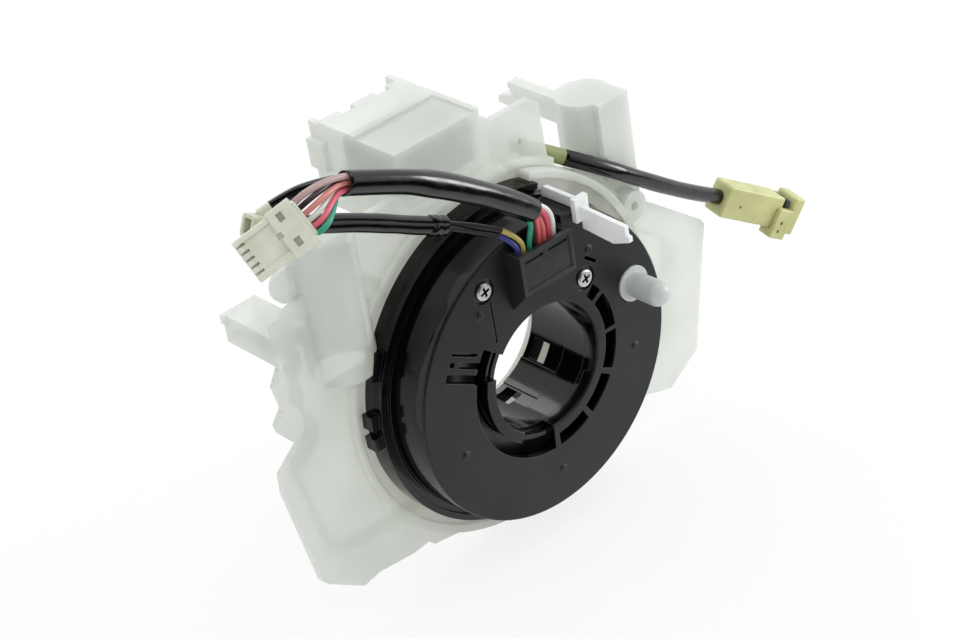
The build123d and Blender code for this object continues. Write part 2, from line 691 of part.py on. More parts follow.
def make_wires():
    floor_z = label_bottom + 1.6
    mouth = bundle(signal_points[0], signal_points[1], 6)
    mouth = sorted(mouth, key=lambda place: place.X)
    starts = [Vector(-2.3 + 1.95 * k, at(-2.2), floor_z) for k in range(6)]
    bends = [start + Vector(0.4, -0.3, block_top + 2.4 + 0.75 * k - floor_z) for k, start in enumerate(starts)]
    signal = fan(starts, bends, mouth)
    horn_mouth = sorted(bundle(horn_points[0], horn_points[1], 2), key=lambda place: place.Z)
    horn_starts = [Vector(-6.7 + 2.1 * k, at(-2.3), floor_z) for k in range(2)]
    horn_tops = [start + Vector(0.3, -0.2, block_top + 2.6 + 0.8 * k - floor_z) for k, start in enumerate(horn_starts)]
    horn_bends = [place_of(horn_wires_bend) + Vector(0.8 * k, -0.5 * k, 1.5 * k) for k in range(2)]
    return signal, fan(horn_starts, horn_tops, horn_bends, horn_mouth)


def make_signal_plug():
    frame = piece_frame(signal_plug_centre, signal_plug_along, signal_plug_facing)
    length, width, height = 18.4, 12.4, 6.0
    body = Box(length, width, height)
    body = fillet(body.edges().filter_by(Axis.X), 0.8)
    shoulder = Pos(-length / 2 + 3.6, 0, 0) * Box(7.2, width + 1.4, height + 0.8)
    body += fillet(shoulder.edges().filter_by(Axis.X), 0.6)
    for side in (-1, 1):
        body -= Pos(-length / 2 + 4.2, side * 3.9, height / 2) * Box(1.8, 2.4, 2.4)
    body -= Pos(2.9, 0, height / 2) * Box(9.0, width - 3.4, 1.0)
    body -= Pos(-length / 2 + 7.2, 0, height / 2) * Box(1.6, 1.6, 1.6)
    for k in range(5):
        body -= Pos(length / 2 - 1.0, (k - 2) * 2.1, height / 2 - 0.7) * Box(3.6, 0.7, 2.0)
        body -= Pos(length / 2, (k - 2) * 2.1, -0.6) * Box(6.0, 1.3, 1.8)
    lock = Pos(-length / 2 - 0.45, 0, 0) * Box(0.9, width - 2.4, height - 1.6)
    # Where the wires meet the lock, in rising order across the plug
    entries = [(frame * Pos(-length / 2 - 1.35, (k - 2.5) * 1.95, 0)).position for k in range(6)]
    return frame * body, frame * lock, entries


def make_plug_wires(entries):
    mouth = bundle(signal_points[-1], signal_points[-2], 6, forward=0.6)
    mouth = sorted(mouth, key=lambda place: -place.Z)
    bends = [start * 0.45 + end * 0.55 + Vector(0, -0.9, 1.3) for start, end in zip(mouth, entries)]
    return fan(mouth, bends, entries)


def make_horn_plug():
    frame = piece_frame(horn_plug_centre, horn_plug_along, (0, -1, 0))
    body = fillet(Box(12.0, 6.4, 5.0).edges().filter_by(Axis.X), 1.2)
    body -= Pos(4.6, 0, 0) * Box(4.0, 4.2, 3.0)
    body += Pos(-2.0, 0, 2.5) * Box(5.0, 2.4, 1.0)
    plug = frame * body
    # Neck that takes the short lead
    end, before = place_of(link_points[-1]), place_of(link_points[-2])
    neck = Plane(origin=end, z_dir=(end - before).normalized()) * Pos(0, 0, 1.9) * Cylinder(link_diameter / 2, 3.8)
    return plug + neck - entry(horn_points, horn_diameter)


def make_airbag_plug():
    frame = piece_frame(airbag_points[-1], airbag_plug_along, airbag_plug_facing)
    length, height, width = 25.4, 11.0, 9.0
    body = Pos(length / 2, 0, 0) * Box(length, height, width)
    body = fillet(body.edges().filter_by(Axis.X), 2.2)
    body -= Pos(10.0, -height / 2, 0) * Box(1.6, 0.9, width)
    body -= Pos(19.0, -height / 2, 0) * Box(1.6, 0.9, width)
    head_width = 10.0
    head = Pos(length + 6.2, 0, 0) * Box(4.8, 13.0, head_width)
    head = fillet(head.edges().filter_by(Axis.X), 1.5)
    neck = Pos(length + 2.0, 0, 0) * Box(4.4, 7.5, 6.0)
    body = body + neck + head
    # Two contact holes in the end face
    for side in (-1, 1):
        body -= Pos(length + 6.6, side * 2.4, 0) * Cylinder(0.9, 8.0, rotation=(0, 90, 0))
    latch = Pos(length + 0.2, -height / 2 - 2.3, 0.4) * Box(6.0, 9.0, 6.4)
    latch = fillet(latch.edges().filter_by(Axis.Z), 1.2)
    latch -= Pos(length + 0.2, -height / 2 - 2.3, 3.6) * Cylinder(0.8, 3.0)
    latch -= Pos(length / 2, 0, 0) * Box(length + 0.1, height + 0.1, width + 0.1)
    latch -= Pos(length + 2.0, 0, 0) * Box(4.5, 7.6, 6.1)
    latch -= Pos(length + 6.2, 0, 0) * Box(4.9, 13.1, head_width + 0.1)
    clip_outer = Pos(length + 1.8, 0, 0) * Box(1.8, 9.8, 8.2)
    clip_inner = Pos(length + 1.8, 0, 0) * Box(3.0, 7.6, 6.1)
    clip = clip_outer - clip_inner - Pos(length + 1.8, -5, 0) * Box(3.0, 5.5, 10)
    plug = frame * body - entry(airbag_points, airbag_diameter)
    return plug, frame * latch, frame * clip


def keep(name, solids):
    shape = solids if not isinstance(solids, list) else Compound(children=solids)
    export_step(shape, f"parts/{name}.step")


def main():
    cover, islands = make_rotor_cover()
    keep("rotor_cover", cover)
    keep("rotor_hub", make_rotor_hub(islands))
    keep("rear_sleeve", make_rear_sleeve())
    keep("connector_block", make_connector_block())
    keep("cover_screw_upper", make_screw(screw_places[0]))
    keep("cover_screw_lower", make_screw(screw_places[1]))
    keep("locating_pin", make_locating_pin())
    keep("transport_strip", make_transport_strip())
    keep("stator_case", make_stator_case())
    keep("ribbon_cable", make_ribbon())
    sheet_outer = case_inner - gap
    keep("slip_sheet_front", ring(core_radius + 0.4, sheet_outer, front_sheet, front_sheet + sheet_thickness))
    keep("slip_sheet_rear", ring(case_bore + case_wall + 0.2, sheet_outer, rear_sheet, rear_sheet + sheet_thickness))
    keep("bracket", make_bracket())
    header, pins = make_header()
    keep("harness_header", header)
    keep("header_pins", pins)
    keep("signal_sleeve", route(signal_points, signal_diameter, "signal_sleeve"))
    keep("horn_sleeve", route(horn_points, horn_diameter, "horn_sleeve"))
    keep("link_sleeve", route(link_points, link_diameter, "link_sleeve"))
    keep("airbag_lead_root", route(root_points, airbag_diameter - 0.2, "airbag_lead_root"))
    keep("airbag_lead", route(airbag_points, airbag_diameter, "airbag_lead"))
    signal_wires, horn_wires = make_wires()
    keep("signal_wires", signal_wires)
    keep("horn_wires", horn_wires)
    plug, lock, entries = make_signal_plug()
    keep("signal_plug", plug)
    keep("signal_plug_lock", lock)
    keep("plug_wires", make_plug_wires(entries))
    keep("horn_plug", make_horn_plug())
    airbag_plug, airbag_latch, airbag_clip = make_airbag_plug()
    keep("airbag_plug", airbag_plug)
    keep("airbag_plug_latch", airbag_latch)
    keep("airbag_plug_clip", airbag_clip)


main()
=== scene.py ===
import json
import math
import random

import bmesh
import bpy
from mathutils import Matrix, Vector


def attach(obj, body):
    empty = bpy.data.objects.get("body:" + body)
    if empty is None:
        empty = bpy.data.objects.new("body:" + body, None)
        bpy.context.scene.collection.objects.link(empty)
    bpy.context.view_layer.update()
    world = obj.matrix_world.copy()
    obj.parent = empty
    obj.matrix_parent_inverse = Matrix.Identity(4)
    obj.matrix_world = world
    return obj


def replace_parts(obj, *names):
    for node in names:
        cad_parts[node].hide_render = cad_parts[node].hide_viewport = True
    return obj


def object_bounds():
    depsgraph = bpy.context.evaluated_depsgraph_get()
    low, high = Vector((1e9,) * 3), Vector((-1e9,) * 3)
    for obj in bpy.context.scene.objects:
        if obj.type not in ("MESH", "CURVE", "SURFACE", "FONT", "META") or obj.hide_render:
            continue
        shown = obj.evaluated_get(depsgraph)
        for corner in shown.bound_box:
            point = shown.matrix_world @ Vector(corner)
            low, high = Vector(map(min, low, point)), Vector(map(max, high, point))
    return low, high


# Looks for a steering clock spring on its column bracket. Sizes here are in millimetres,
# in the frame of the model: X to the driver's right, Y towards the column, Z up.
mm = 0.001
faceY = -36.0  # where the rotor's front face lies on Y

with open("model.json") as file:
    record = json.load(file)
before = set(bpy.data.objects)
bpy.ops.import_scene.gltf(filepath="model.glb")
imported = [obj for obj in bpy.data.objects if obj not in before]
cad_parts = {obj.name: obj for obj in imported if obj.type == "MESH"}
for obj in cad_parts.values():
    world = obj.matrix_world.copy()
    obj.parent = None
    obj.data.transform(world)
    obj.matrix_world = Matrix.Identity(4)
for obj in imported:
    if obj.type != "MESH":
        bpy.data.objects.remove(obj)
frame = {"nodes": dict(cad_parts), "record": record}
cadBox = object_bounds()
nodes = frame["nodes"]
bodyOf = {name: body for body, names in frame["record"]["behaviour"]["bodies"].items() for name in names}
print("frame loaded")


def at(x, depth, z):
    return Vector((x, faceY + depth, z)) * mm


def linear(hexCode):
    channels = [int(hexCode[i:i + 2], 16) / 255 for i in (1, 3, 5)]
    return tuple(c / 12.92 if c <= 0.04045 else ((c + 0.055) / 1.055) ** 2.4 for c in channels) + (1.0,)


def addNode(tree, kind, values=None, links=None, **settings):
    node = tree.nodes.new(kind)
    for key, value in settings.items():
        setattr(node, key, value)
    for key, value in (values or {}).items():
        node.inputs[key].default_value = value
    for key, source in (links or {}).items():
        tree.links.new(source, node.inputs[key])
    return node


def perMetre(size):
    return 1000.0 / size  # texture scale whose features are that many millimetres across


def newMaterial(name):
    material = bpy.data.materials.new(name)
    material.use_nodes = True
    material.node_tree.nodes.clear()
    return material, material.node_tree


def dress(name, material):
    piece = nodes[name]
    if not piece.material_slots:
        piece.data.materials.append(material)
    for holder in piece.material_slots:
        holder.material = material


def addPiece(name, data, node, material=None):
    # A new piece that rides on the body of the model's node, with the given material, if any, in its slot
    piece = bpy.data.objects.new(name, data)
    bpy.context.scene.collection.objects.link(piece)
    if material:
        data.materials.clear()
        data.materials.append(material)
    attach(piece, bodyOf[node])
    return piece


cameraView = {
    "place": (-361.8, -481.4, 376.9),
    "right": (0.7299, -0.6684, -0.1432),
    "up": (0.4493, 0.3112, 0.8374),
    "back": (-0.5152, -0.6756, 0.5275),
    "lens": 86.25, "sensor": 36, "reach": 20,
}


def makeCamera(view):
    camera = bpy.data.objects.new("camera", bpy.data.cameras.new("camera"))
    bpy.context.scene.collection.objects.link(camera)
    camera.data.sensor_width = view["sensor"]
    camera.data.lens = view["lens"]
    camera.data.clip_end = view["reach"]
    turn = Matrix((view["right"], view["up"], view["back"])).transposed().to_quaternion()
    camera.matrix_world = Matrix.Translation(Vector(view["place"]) * mm) @ turn.to_matrix().to_4x4()
    bpy.context.scene.camera = camera


makeCamera(cameraView)
bpy.context.scene.view_settings.view_transform = "Standard"
print("camera placed")


# Studio: a soft box overhead, two more at the right and behind, white surroundings, a pale floor,
# and black flags at the far left, behind the camera and on the table in front, which keep black pieces dark
studio = {
    "surroundings": 0.85,  # how strongly the white surroundings light the part
    "keyPlace": (120, -120, 760), "keySize": 420, "keyPower": 0.9,
    "sidePlace": (640, -330, 160), "sideSize": 260, "sidePower": 1.8,
    "backPlace": (160, 560, 420), "backSize": 420, "backPower": 1.0,
    "floorReach": 4000, "floorGlow": 0.8, "floorColour": "#f4f4f3", "flagColour": "#050505",
    "flags": [  # name, place, width and height, and whether it lies level
        ("leftFlag", (-620, 560, 300), (620, 620), False),
        ("cameraFlag", (-773, -1013, 791), (3400, 3400), False),
        ("tableFlag", (350, -600, cadBox[0][2] / mm + 1), (1100, 830), True),
    ],
}


def makeLamp(name, place, size, power):
    data = bpy.data.lights.new(name, "AREA")
    data.shape = "DISK"
    data.size = size * mm
    data.energy = power
    lamp = bpy.data.objects.new(name, data)
    bpy.context.scene.collection.objects.link(lamp)
    lamp.location = Vector(place) * mm
    lamp.rotation_euler = (-lamp.location).to_track_quat("-Z", "Y").to_euler()


def seenDirectly(tree):
    path = addNode(tree, "ShaderNodeLightPath").outputs
    seen = addNode(tree, "ShaderNodeMath", links={0: path["Is Camera Ray"], 1: path["Is Glossy Ray"]},
                   operation="MAXIMUM").outputs[0]
    return addNode(tree, "ShaderNodeMath", links={0: seen, 1: path["Is Transmission Ray"]},
                   operation="MAXIMUM").outputs[0]


def makeStudio(settings):
    for name in ("key", "side", "back"):
        makeLamp(name, settings[name + "Place"], settings[name + "Size"], settings[name + "Power"])
    world = bpy.data.worlds.new("studio")
    world.use_nodes = True
    tree = world.node_tree
    tree.nodes.clear()
    lighting = addNode(tree, "ShaderNodeBackground", {"Color": (1, 1, 1, 1), "Strength": settings["surroundings"]})
    backdrop = addNode(tree, "ShaderNodeBackground", {"Color": (1, 1, 1, 1), "Strength": 1.0})
    mixed = addNode(tree, "ShaderNodeMixShader", links={0: seenDirectly(tree), 1: lighting.outputs[0],
                                                        2: backdrop.outputs[0]})
    addNode(tree, "ShaderNodeOutputWorld", links={"Surface": mixed.outputs[0]})
    bpy.context.scene.world = world


def makeFloor(settings, height):
    # Painted board: matt white, and it shows itself nearly as bright as the white behind it
    material, tree = newMaterial("paintedBoard")
    board = addNode(tree, "ShaderNodeBsdfDiffuse", {"Color": linear(settings["floorColour"])})
    glow = addNode(tree, "ShaderNodeEmission", {"Color": (1, 1, 1, 1), "Strength": 1.0})
    share = addNode(tree, "ShaderNodeMath", {1: settings["floorGlow"]}, {0: seenDirectly(tree)}, operation="MULTIPLY")
    mixed = addNode(tree, "ShaderNodeMixShader", links={0: share.outputs[0], 1: board.outputs[0],
                                                        2: glow.outputs[0]})
    addNode(tree, "ShaderNodeOutputMaterial", links={"Surface": mixed.outputs[0]})
    mesh = bpy.data.meshes.new("floor")
    reach = settings["floorReach"] * mm
    corners = [(-reach, -reach, height), (reach, -reach, height), (reach, reach, height), (-reach, reach, height)]
    mesh.from_pydata(corners, [], [(0, 1, 2, 3)])
    mesh.materials.append(material)
    floor = bpy.data.objects.new("floor", mesh)
    bpy.context.scene.collection.objects.link(floor)


def makeFlag(name, place, size, level):
    # Black velvet on a frame, out of the picture: only mirror-like surfaces see it
    material, tree = newMaterial("blackVelvet")
    cloth = addNode(tree, "ShaderNodeBsdfDiffuse", {"Color": linear(studio["flagColour"])})
    addNode(tree, "ShaderNodeOutputMaterial", links={"Surface": cloth.outputs[0]})
    mesh = bpy.data.meshes.new(name)
    wide, tall = size[0] / 2 * mm, size[1] / 2 * mm
    mesh.from_pydata([(-wide, -tall, 0), (wide, -tall, 0), (wide, tall, 0), (-wide, tall, 0)], [], [(0, 1, 2, 3)])
    place = Vector(place) * mm
    if not level:
        mesh.transform((-place).to_track_quat("-Z", "Y").to_matrix().to_4x4())
    mesh.transform(Matrix.Translation(place))
    mesh.materials.append(material)
    flag = bpy.data.objects.new(name, mesh)
    bpy.context.scene.collection.objects.link(flag)
    flag.visible_camera = flag.visible_diffuse = flag.visible_shadow = flag.visible_transmission = False


makeStudio(studio)
makeFloor(studio, cadBox[0][2])
for flag in studio["flags"]:
    makeFlag(*flag)
print("studio lit")


# What a skin has where its own look says nothing, with the spans of the noises that take part and the slants
# between which an edge counts as worn and gets a painted highlight
plainSkin = {
    "driftSize": 24.0, "driftSpan": (0.36, 0.64), "glossSize": 7.0, "glossSpan": (0.3, 0.7), "waveSize": 11.0,
    "waveHeight": 0.03, "grain": 0.7, "grainHeight": 0.01, "edge": 0.3, "edgeWearAndHighlightShare": 0.5, "edgeWearAndHighlightSpan": (0.995, 0.86),
    "specular": 0.5, "metallic": 0.0, "alpha": 1.0, "depthByColour": (1.0, 0.95, 0.85),
}


def surfaceNodes(tree, look, place, paintedShade=None):
    # One moulded or extruded plastic skin: colour drift, uneven gloss, grain, and rounded edges lightened as wear and
    # a painted highlight
    look = {**plainSkin, **look}
    drift = addNode(tree, "ShaderNodeTexNoise", {"Scale": perMetre(look["driftSize"]), "Detail": 3.0},
                    {"Vector": place})
    low, high = look["driftSpan"]
    spread = addNode(tree, "ShaderNodeMapRange", {1: low, 2: high}, {0: drift.outputs[0]})
    colour = addNode(tree, "ShaderNodeMix", {6: linear(look["colour"]), 7: linear(look["drift"])},
                     {0: spread.outputs[0]}, data_type="RGBA").outputs[2]
    if paintedShade:
        colour = paintedShade(tree, place, colour)
    rounded = addNode(tree, "ShaderNodeBevel", {"Radius": look["edge"] * mm}, samples=4).outputs[0]
    # Painted highlight and wear: the colour turns towards the lighter edge colour where the rounded normal leaves the
    # true one
    if look.get("edgeWearAndHighlight"):
        trueNormal = addNode(tree, "ShaderNodeNewGeometry").outputs["Normal"]
        lined = addNode(tree, "ShaderNodeVectorMath", links={0: rounded, 1: trueNormal}, operation="DOT_PRODUCT")
        low, high = look["edgeWearAndHighlightSpan"]
        wearAndHighlight = addNode(tree, "ShaderNodeMapRange", {1: low, 2: high, 3: 0.0, 4: look["edgeWearAndHighlightShare"]},
                       {0: lined.outputs["Value"]})
        colour = addNode(tree, "ShaderNodeMix", {7: linear(look["edgeWearAndHighlight"])}, {0: wearAndHighlight.outputs[0], 6: colour},
                         data_type="RGBA").outputs[2]
    blotch = addNode(tree, "ShaderNodeTexNoise", {"Scale": perMetre(look["glossSize"]), "Detail": 4.0},
                     {"Vector": place})
    (low, high), (smooth, dull) = look["glossSpan"], look["roughness"]
    rough = addNode(tree, "ShaderNodeMapRange", {1: low, 2: high, 3: smooth, 4: dull}, {0: blotch.outputs[0]})
    wave = addNode(tree, "ShaderNodeTexNoise", {"Scale": perMetre(look["waveSize"]), "Detail": 1.0},
                   {"Vector": place})
    sunk = addNode(tree, "ShaderNodeBump", {"Distance": look["waveHeight"] * mm, "Strength": 1.0},
                   {"Height": wave.outputs[0], "Normal": rounded})
    grain = addNode(tree, "ShaderNodeTexNoise", {"Scale": perMetre(look["grain"]), "Detail": 2.0},
                    {"Vector": place})
    skin = addNode(tree, "ShaderNodeBump", {"Distance": look["grainHeight"] * mm, "Strength": 1.0},
                   {"Height": grain.outputs[0], "Normal": sunk.outputs[0]})
    values = {"Specular IOR Level": look["specular"], "Metallic": look["metallic"], "Alpha": look["alpha"]}
    if look.get("depth"):
        values["Subsurface Weight"] = look["softness"]
        values["Subsurface Radius"] = look["depthByColour"]
        values["Subsurface Scale"] = look["depth"] * mm
    return addNode(tree, "ShaderNodeBsdfPrincipled", values,
                   {"Base Color": colour, "Roughness": rough.outputs[0], "Normal": skin.outputs[0]})


def plainSurface(name, look, paintedShade=None):
    material, tree = newMaterial(name)
    place = addNode(tree, "ShaderNodeTexCoord").outputs["Object"]
    surface = surfaceNodes(tree, look, place, paintedShade)
    addNode(tree, "ShaderNodeOutputMaterial", links={"Surface": surface.outputs[0]})
    return material


# Natural polypropylene, injection moulded: cloudy and faintly green-grey, light comes through each wall
naturalBracket = {
    "colour": "#e2e7e1", "drift": "#d6dcd5", "driftSize": 34.0, "roughness": (0.3, 0.44), "glossSize": 16.0,
    "waveSize": 13.0, "waveHeight": 0.05, "grain": 0.9, "grainHeight": 0.006, "edge": 0.35,
    "edgeWearAndHighlight": "#f6f9f5", "edgeWearAndHighlightShare": 0.6, "alpha": 0.64, "softness": 0.5, "depth": 8.0, "specular": 0.45,
    # painted shade close to the dark case: its colour, the radii where it fades, and its share
    "paintedShade": "#cfd2b8", "paintedShadeInner": 54.0, "paintedShadeOuter": 66.0, "paintedShadeShare": 0.35,
}


def ringShade(tree, place, colour):
    # Painted shade: the moulding is drawn darker, with a yellowish cast, close to the dark case
    look = naturalBracket
    flat = addNode(tree, "ShaderNodeVectorMath", {1: (1.0, 0.0, 1.0)}, {0: place}, operation="MULTIPLY")
    radius = addNode(tree, "ShaderNodeVectorMath", links={0: flat.outputs[0]}, operation="LENGTH")
    near = addNode(tree, "ShaderNodeMapRange", {1: look["paintedShadeInner"] * mm, 2: look["paintedShadeOuter"] * mm,
                                                3: look["paintedShadeShare"], 4: 0.0}, {0: radius.outputs["Value"]})
    return addNode(tree, "ShaderNodeMix", {7: linear(look["paintedShade"])}, {0: near.outputs[0], 6: colour},
                   data_type="RGBA").outputs[2]


# Polypropylene as above, in a loose thin strip: clearer, with edges brightened as wear and a painted highlight
naturalStrip = {
    "colour": "#fafcfc", "drift": "#eef2f3", "driftSize": 9.0, "roughness": (0.22, 0.36), "waveSize": 6.0,
    "grainHeight": 0.004, "edge": 0.25, "edgeWearAndHighlight": "#ffffff", "edgeWearAndHighlightShare": 0.8, "alpha": 0.88,
    "softness": 0.3, "depth": 3.0,
}
# Acetal, injection moulded: pale grey, waxy and dense
acetalPin = {
    "colour": "#c6cac8", "drift": "#babebc", "driftSize": 12.0, "roughness": (0.3, 0.42), "glossSize": 4.0,
    "waveSize": 5.0, "waveHeight": 0.02, "grainHeight": 0.004, "edge": 0.35, "edgeWearAndHighlight": "#eef0f3",
    "edgeWearAndHighlightShare": 0.6, "softness": 0.2, "depth": 1.5,
}
# Black polyacetal from a polished mould: deep black, mirror-like skin with faint flow waves
polishedBlack = {
    "colour": "#060607", "drift": "#09090a", "driftSize": 20.0, "roughness": (0.07, 0.14), "glossSize": 9.0,
    "waveSize": 16.0, "waveHeight": 0.05, "grain": 0.6, "grainHeight": 0.001, "edge": 0.3,
    "edgeWearAndHighlight": "#3c3e3f", "edgeWearAndHighlightShare": 0.5, "specular": 0.42,
}
# Black polyacetal from an etched mould: the face is dull blue-grey, with the etching drawn at 0.6 mm to show
etchedFace = {
    "colour": "#141718", "drift": "#0f1213", "driftSize": 40.0, "roughness": (0.4, 0.5), "glossSize": 18.0,
    "waveSize": 30.0, "waveHeight": 0.04, "grain": 0.6, "grainHeight": 0.012, "edge": 0.35,
    "edgeWearAndHighlight": "#5b6062", "edgeWearAndHighlightShare": 0.6, "specular": 0.42,
}
# Glass-filled polyester, injection moulded: charcoal, with a faint grain from the fibres
filledBlock = {
    "colour": "#1b1d1e", "drift": "#232627", "driftSize": 9.0, "roughness": (0.36, 0.52), "glossSize": 3.0,
    "waveSize": 7.0, "waveHeight": 0.03, "grain": 0.6, "grainHeight": 0.012, "edge": 0.28,
    "edgeWearAndHighlight": "#6a6e6f", "edgeWearAndHighlightShare": 0.65,
}
# Zinc plate, clear passivated, on steel: bright and slightly uneven from the plating barrel
zincPlate = {
    "colour": "#eceeea", "drift": "#d2d4d0", "driftSize": 1.6, "roughness": (0.36, 0.5), "glossSize": 0.9,
    "waveSize": 1.2, "waveHeight": 0.012, "grain": 0.6, "grainHeight": 0.004, "edge": 0.15, "metallic": 1.0,
}
# Tin plate on brass, stamped: dull silver with a warm cast
tinPlate = {
    "colour": "#c9c5ba", "drift": "#b8b2a4", "driftSize": 2.0, "roughness": (0.25, 0.4), "glossSize": 1.0,
    "waveSize": 2.0, "waveHeight": 0.005, "grainHeight": 0.002, "edge": 0.1, "metallic": 1.0,
}
# White polyester of the socket, injection moulded: opaque and smooth
whitePolyester = {
    "colour": "#e4e6e0", "drift": "#d8dbd3", "driftSize": 14.0, "roughness": (0.34, 0.46), "grainHeight": 0.004,
    "edge": 0.25, "edgeWearAndHighlight": "#f7f8f4", "edgeWearAndHighlightShare": 0.5, "softness": 0.15, "depth": 1.5,
}
# Natural polyamide of the plugs, injection moulded: ivory, warmer where it has aged, slightly waxy
naturalPolyamide = {
    "colour": "#dcdfd3", "drift": "#cfd1bd", "driftSize": 8.0, "roughness": (0.34, 0.48), "glossSize": 3.5,
    "waveSize": 4.5, "waveHeight": 0.025, "grain": 0.6, "grainHeight": 0.005, "edge": 0.25,
    "edgeWearAndHighlight": "#eef0e7", "edgeWearAndHighlightShare": 0.55, "softness": 0.25, "depth": 1.2,
}
# Polyester of the airbag plug, injection moulded: pale yellow-green, satin
yellowPolyester = {
    "colour": "#c3c48c", "drift": "#b4b57c", "driftSize": 7.0, "roughness": (0.32, 0.46), "glossSize": 3.0,
    "waveSize": 4.0, "waveHeight": 0.03, "grain": 0.6, "grainHeight": 0.005, "edge": 0.3,
    "edgeWearAndHighlight": "#cfd19b", "edgeWearAndHighlightShare": 0.5, "softness": 0.2, "depth": 1.2,
}
# Black polyamide of the clip, injection moulded: satin
blackPolyamide = {
    "colour": "#1a1b1c", "drift": "#222324", "driftSize": 3.0, "roughness": (0.34, 0.46), "grainHeight": 0.005,
    "edge": 0.2, "edgeWearAndHighlight": "#5a5d5e", "edgeWearAndHighlightShare": 0.5,
}
# Polyester film over copper strips, laminated: smooth amber-black edges of the wound cable
laminatedFilm = {
    "colour": "#2a2018", "drift": "#352a20", "driftSize": 6.0, "roughness": (0.2, 0.32), "grainHeight": 0.002,
    "edge": 0.1,
}
# Polyester slip film, calendered: black, and the black also paints the shade inside the case where the comb shows it
slipFilm = {
    "colour": "#101112", "drift": "#17181a", "driftSize": 15.0, "roughness": (0.25, 0.35), "grainHeight": 0.002,
    "edge": 0.1,
}
# Soft vinyl sheath of the airbag lead's root, extruded: pale green-yellow
paleVinyl = {
    "colour": "#8b9463", "drift": "#7f8856", "driftSize": 5.0, "roughness": (0.38, 0.5), "glossSize": 2.5,
    "waveSize": 3.0, "waveHeight": 0.04, "grainHeight": 0.004, "edge": 0.2,
}


# Painted shade in the screws' cross recess: radii round the screw's axis, depths under its head's top
recess = {"colour": "#2b2c2b", "fullRadius": 1.7, "endRadius": 2.1, "startDepth": 0.15, "fullDepth": 0.5}


def recessShade(screw):
    box = [nodes[screw].matrix_world @ Vector(corner) for corner in nodes[screw].bound_box]
    centre = sum(box, Vector()) / 8
    top = min(corner.y for corner in box)

    def shade(tree, place, colour):
        offset = addNode(tree, "ShaderNodeVectorMath", {1: (centre.x, 0.0, centre.z)}, {0: place},
                         operation="SUBTRACT").outputs[0]
        flat = addNode(tree, "ShaderNodeVectorMath", {1: (1.0, 0.0, 1.0)}, {0: offset}, operation="MULTIPLY")
        radius = addNode(tree, "ShaderNodeVectorMath", links={0: flat.outputs[0]}, operation="LENGTH")
        near = addNode(tree, "ShaderNodeMapRange", {1: recess["fullRadius"] * mm, 2: recess["endRadius"] * mm,
                                                    3: 1.0, 4: 0.0}, {0: radius.outputs["Value"]})
        depth = addNode(tree, "ShaderNodeSeparateXYZ", links={0: place}).outputs["Y"]
        deep = addNode(tree, "ShaderNodeMapRange", {1: top + recess["startDepth"] * mm,
                                                    2: top + recess["fullDepth"] * mm}, {0: depth})
        share = addNode(tree, "ShaderNodeMath", links={0: near.outputs[0], 1: deep.outputs[0]},
                        operation="MULTIPLY")
        return addNode(tree, "ShaderNodeMix", {7: linear(recess["colour"])}, {0: share.outputs[0], 6: colour},
                       data_type="RGBA").outputs[2]

    return shade


rimDepth = (0.5, 1.0)  # the etched face gives way to the polished skirt between these depths


def rotorSurface(face, skirt):
    material, tree = newMaterial("etchedAndPolished")
    place = addNode(tree, "ShaderNodeTexCoord").outputs["Object"]
    dull, shiny = surfaceNodes(tree, face, place), surfaceNodes(tree, skirt, place)
    depth = addNode(tree, "ShaderNodeSeparateXYZ", links={0: place}).outputs["Y"]
    share = addNode(tree, "ShaderNodeMapRange", {1: (faceY + rimDepth[0]) * mm, 2: (faceY + rimDepth[1]) * mm},
                    {0: depth})
    mixed = addNode(tree, "ShaderNodeMixShader", links={0: share.outputs[0], 1: dull.outputs[0],
                                                        2: shiny.outputs[0]})
    addNode(tree, "ShaderNodeOutputMaterial", links={"Surface": mixed.outputs[0]})
    return material


polished = plainSurface("polishedBlackAcetal", polishedBlack)
ivory = plainSurface("naturalPolyamide", naturalPolyamide)
yellow = plainSurface("yellowPolyester", yellowPolyester)
finishes = {
    "bracket": plainSurface("naturalPolypropylene", naturalBracket, ringShade),
    "rotor_cover": rotorSurface(etchedFace, polishedBlack),
    "rotor_hub": rotorSurface(etchedFace, polishedBlack),
    "rear_sleeve": polished,
    "stator_case": polished,
    "connector_block": plainSurface("filledPolyesterBlock", filledBlock),
    "cover_screw_upper": plainSurface("zincPlateUpper", zincPlate, recessShade("cover_screw_upper")),
    "cover_screw_lower": plainSurface("zincPlateLower", zincPlate, recessShade("cover_screw_lower")),
    "locating_pin": plainSurface("acetalPin", acetalPin),
    "transport_strip": plainSurface("naturalStrip", naturalStrip),
    "ribbon_cable": plainSurface("laminatedFilm", laminatedFilm),
    "slip_sheet_front": plainSurface("slipFilm", slipFilm),
    "harness_header": plainSurface("whitePolyester", whitePolyester),
    "header_pins": plainSurface("tinPlate", tinPlate),
    "signal_plug": ivory,
    "signal_plug_lock": ivory,
    "horn_plug": ivory,
    "airbag_plug": yellow,
    "airbag_plug_latch": yellow,
    "airbag_plug_clip": plainSurface("blackPolyamide", blackPolyamide),
}
finishes["slip_sheet_rear"] = finishes["slip_sheet_front"]
for name, material in finishes.items():
    dress(name, material)
print("mouldings dressed")


def finishedMesh(name, mesh):
    bmesh.ops.recalc_face_normals(mesh, faces=mesh.faces)
    data = bpy.data.meshes.new(name)
    mesh.to_mesh(data)
    mesh.free()
    return data


def builtMesh(name, builder):
    mesh = bmesh.new()
    builder(mesh)
    return finishedMesh(name, mesh)


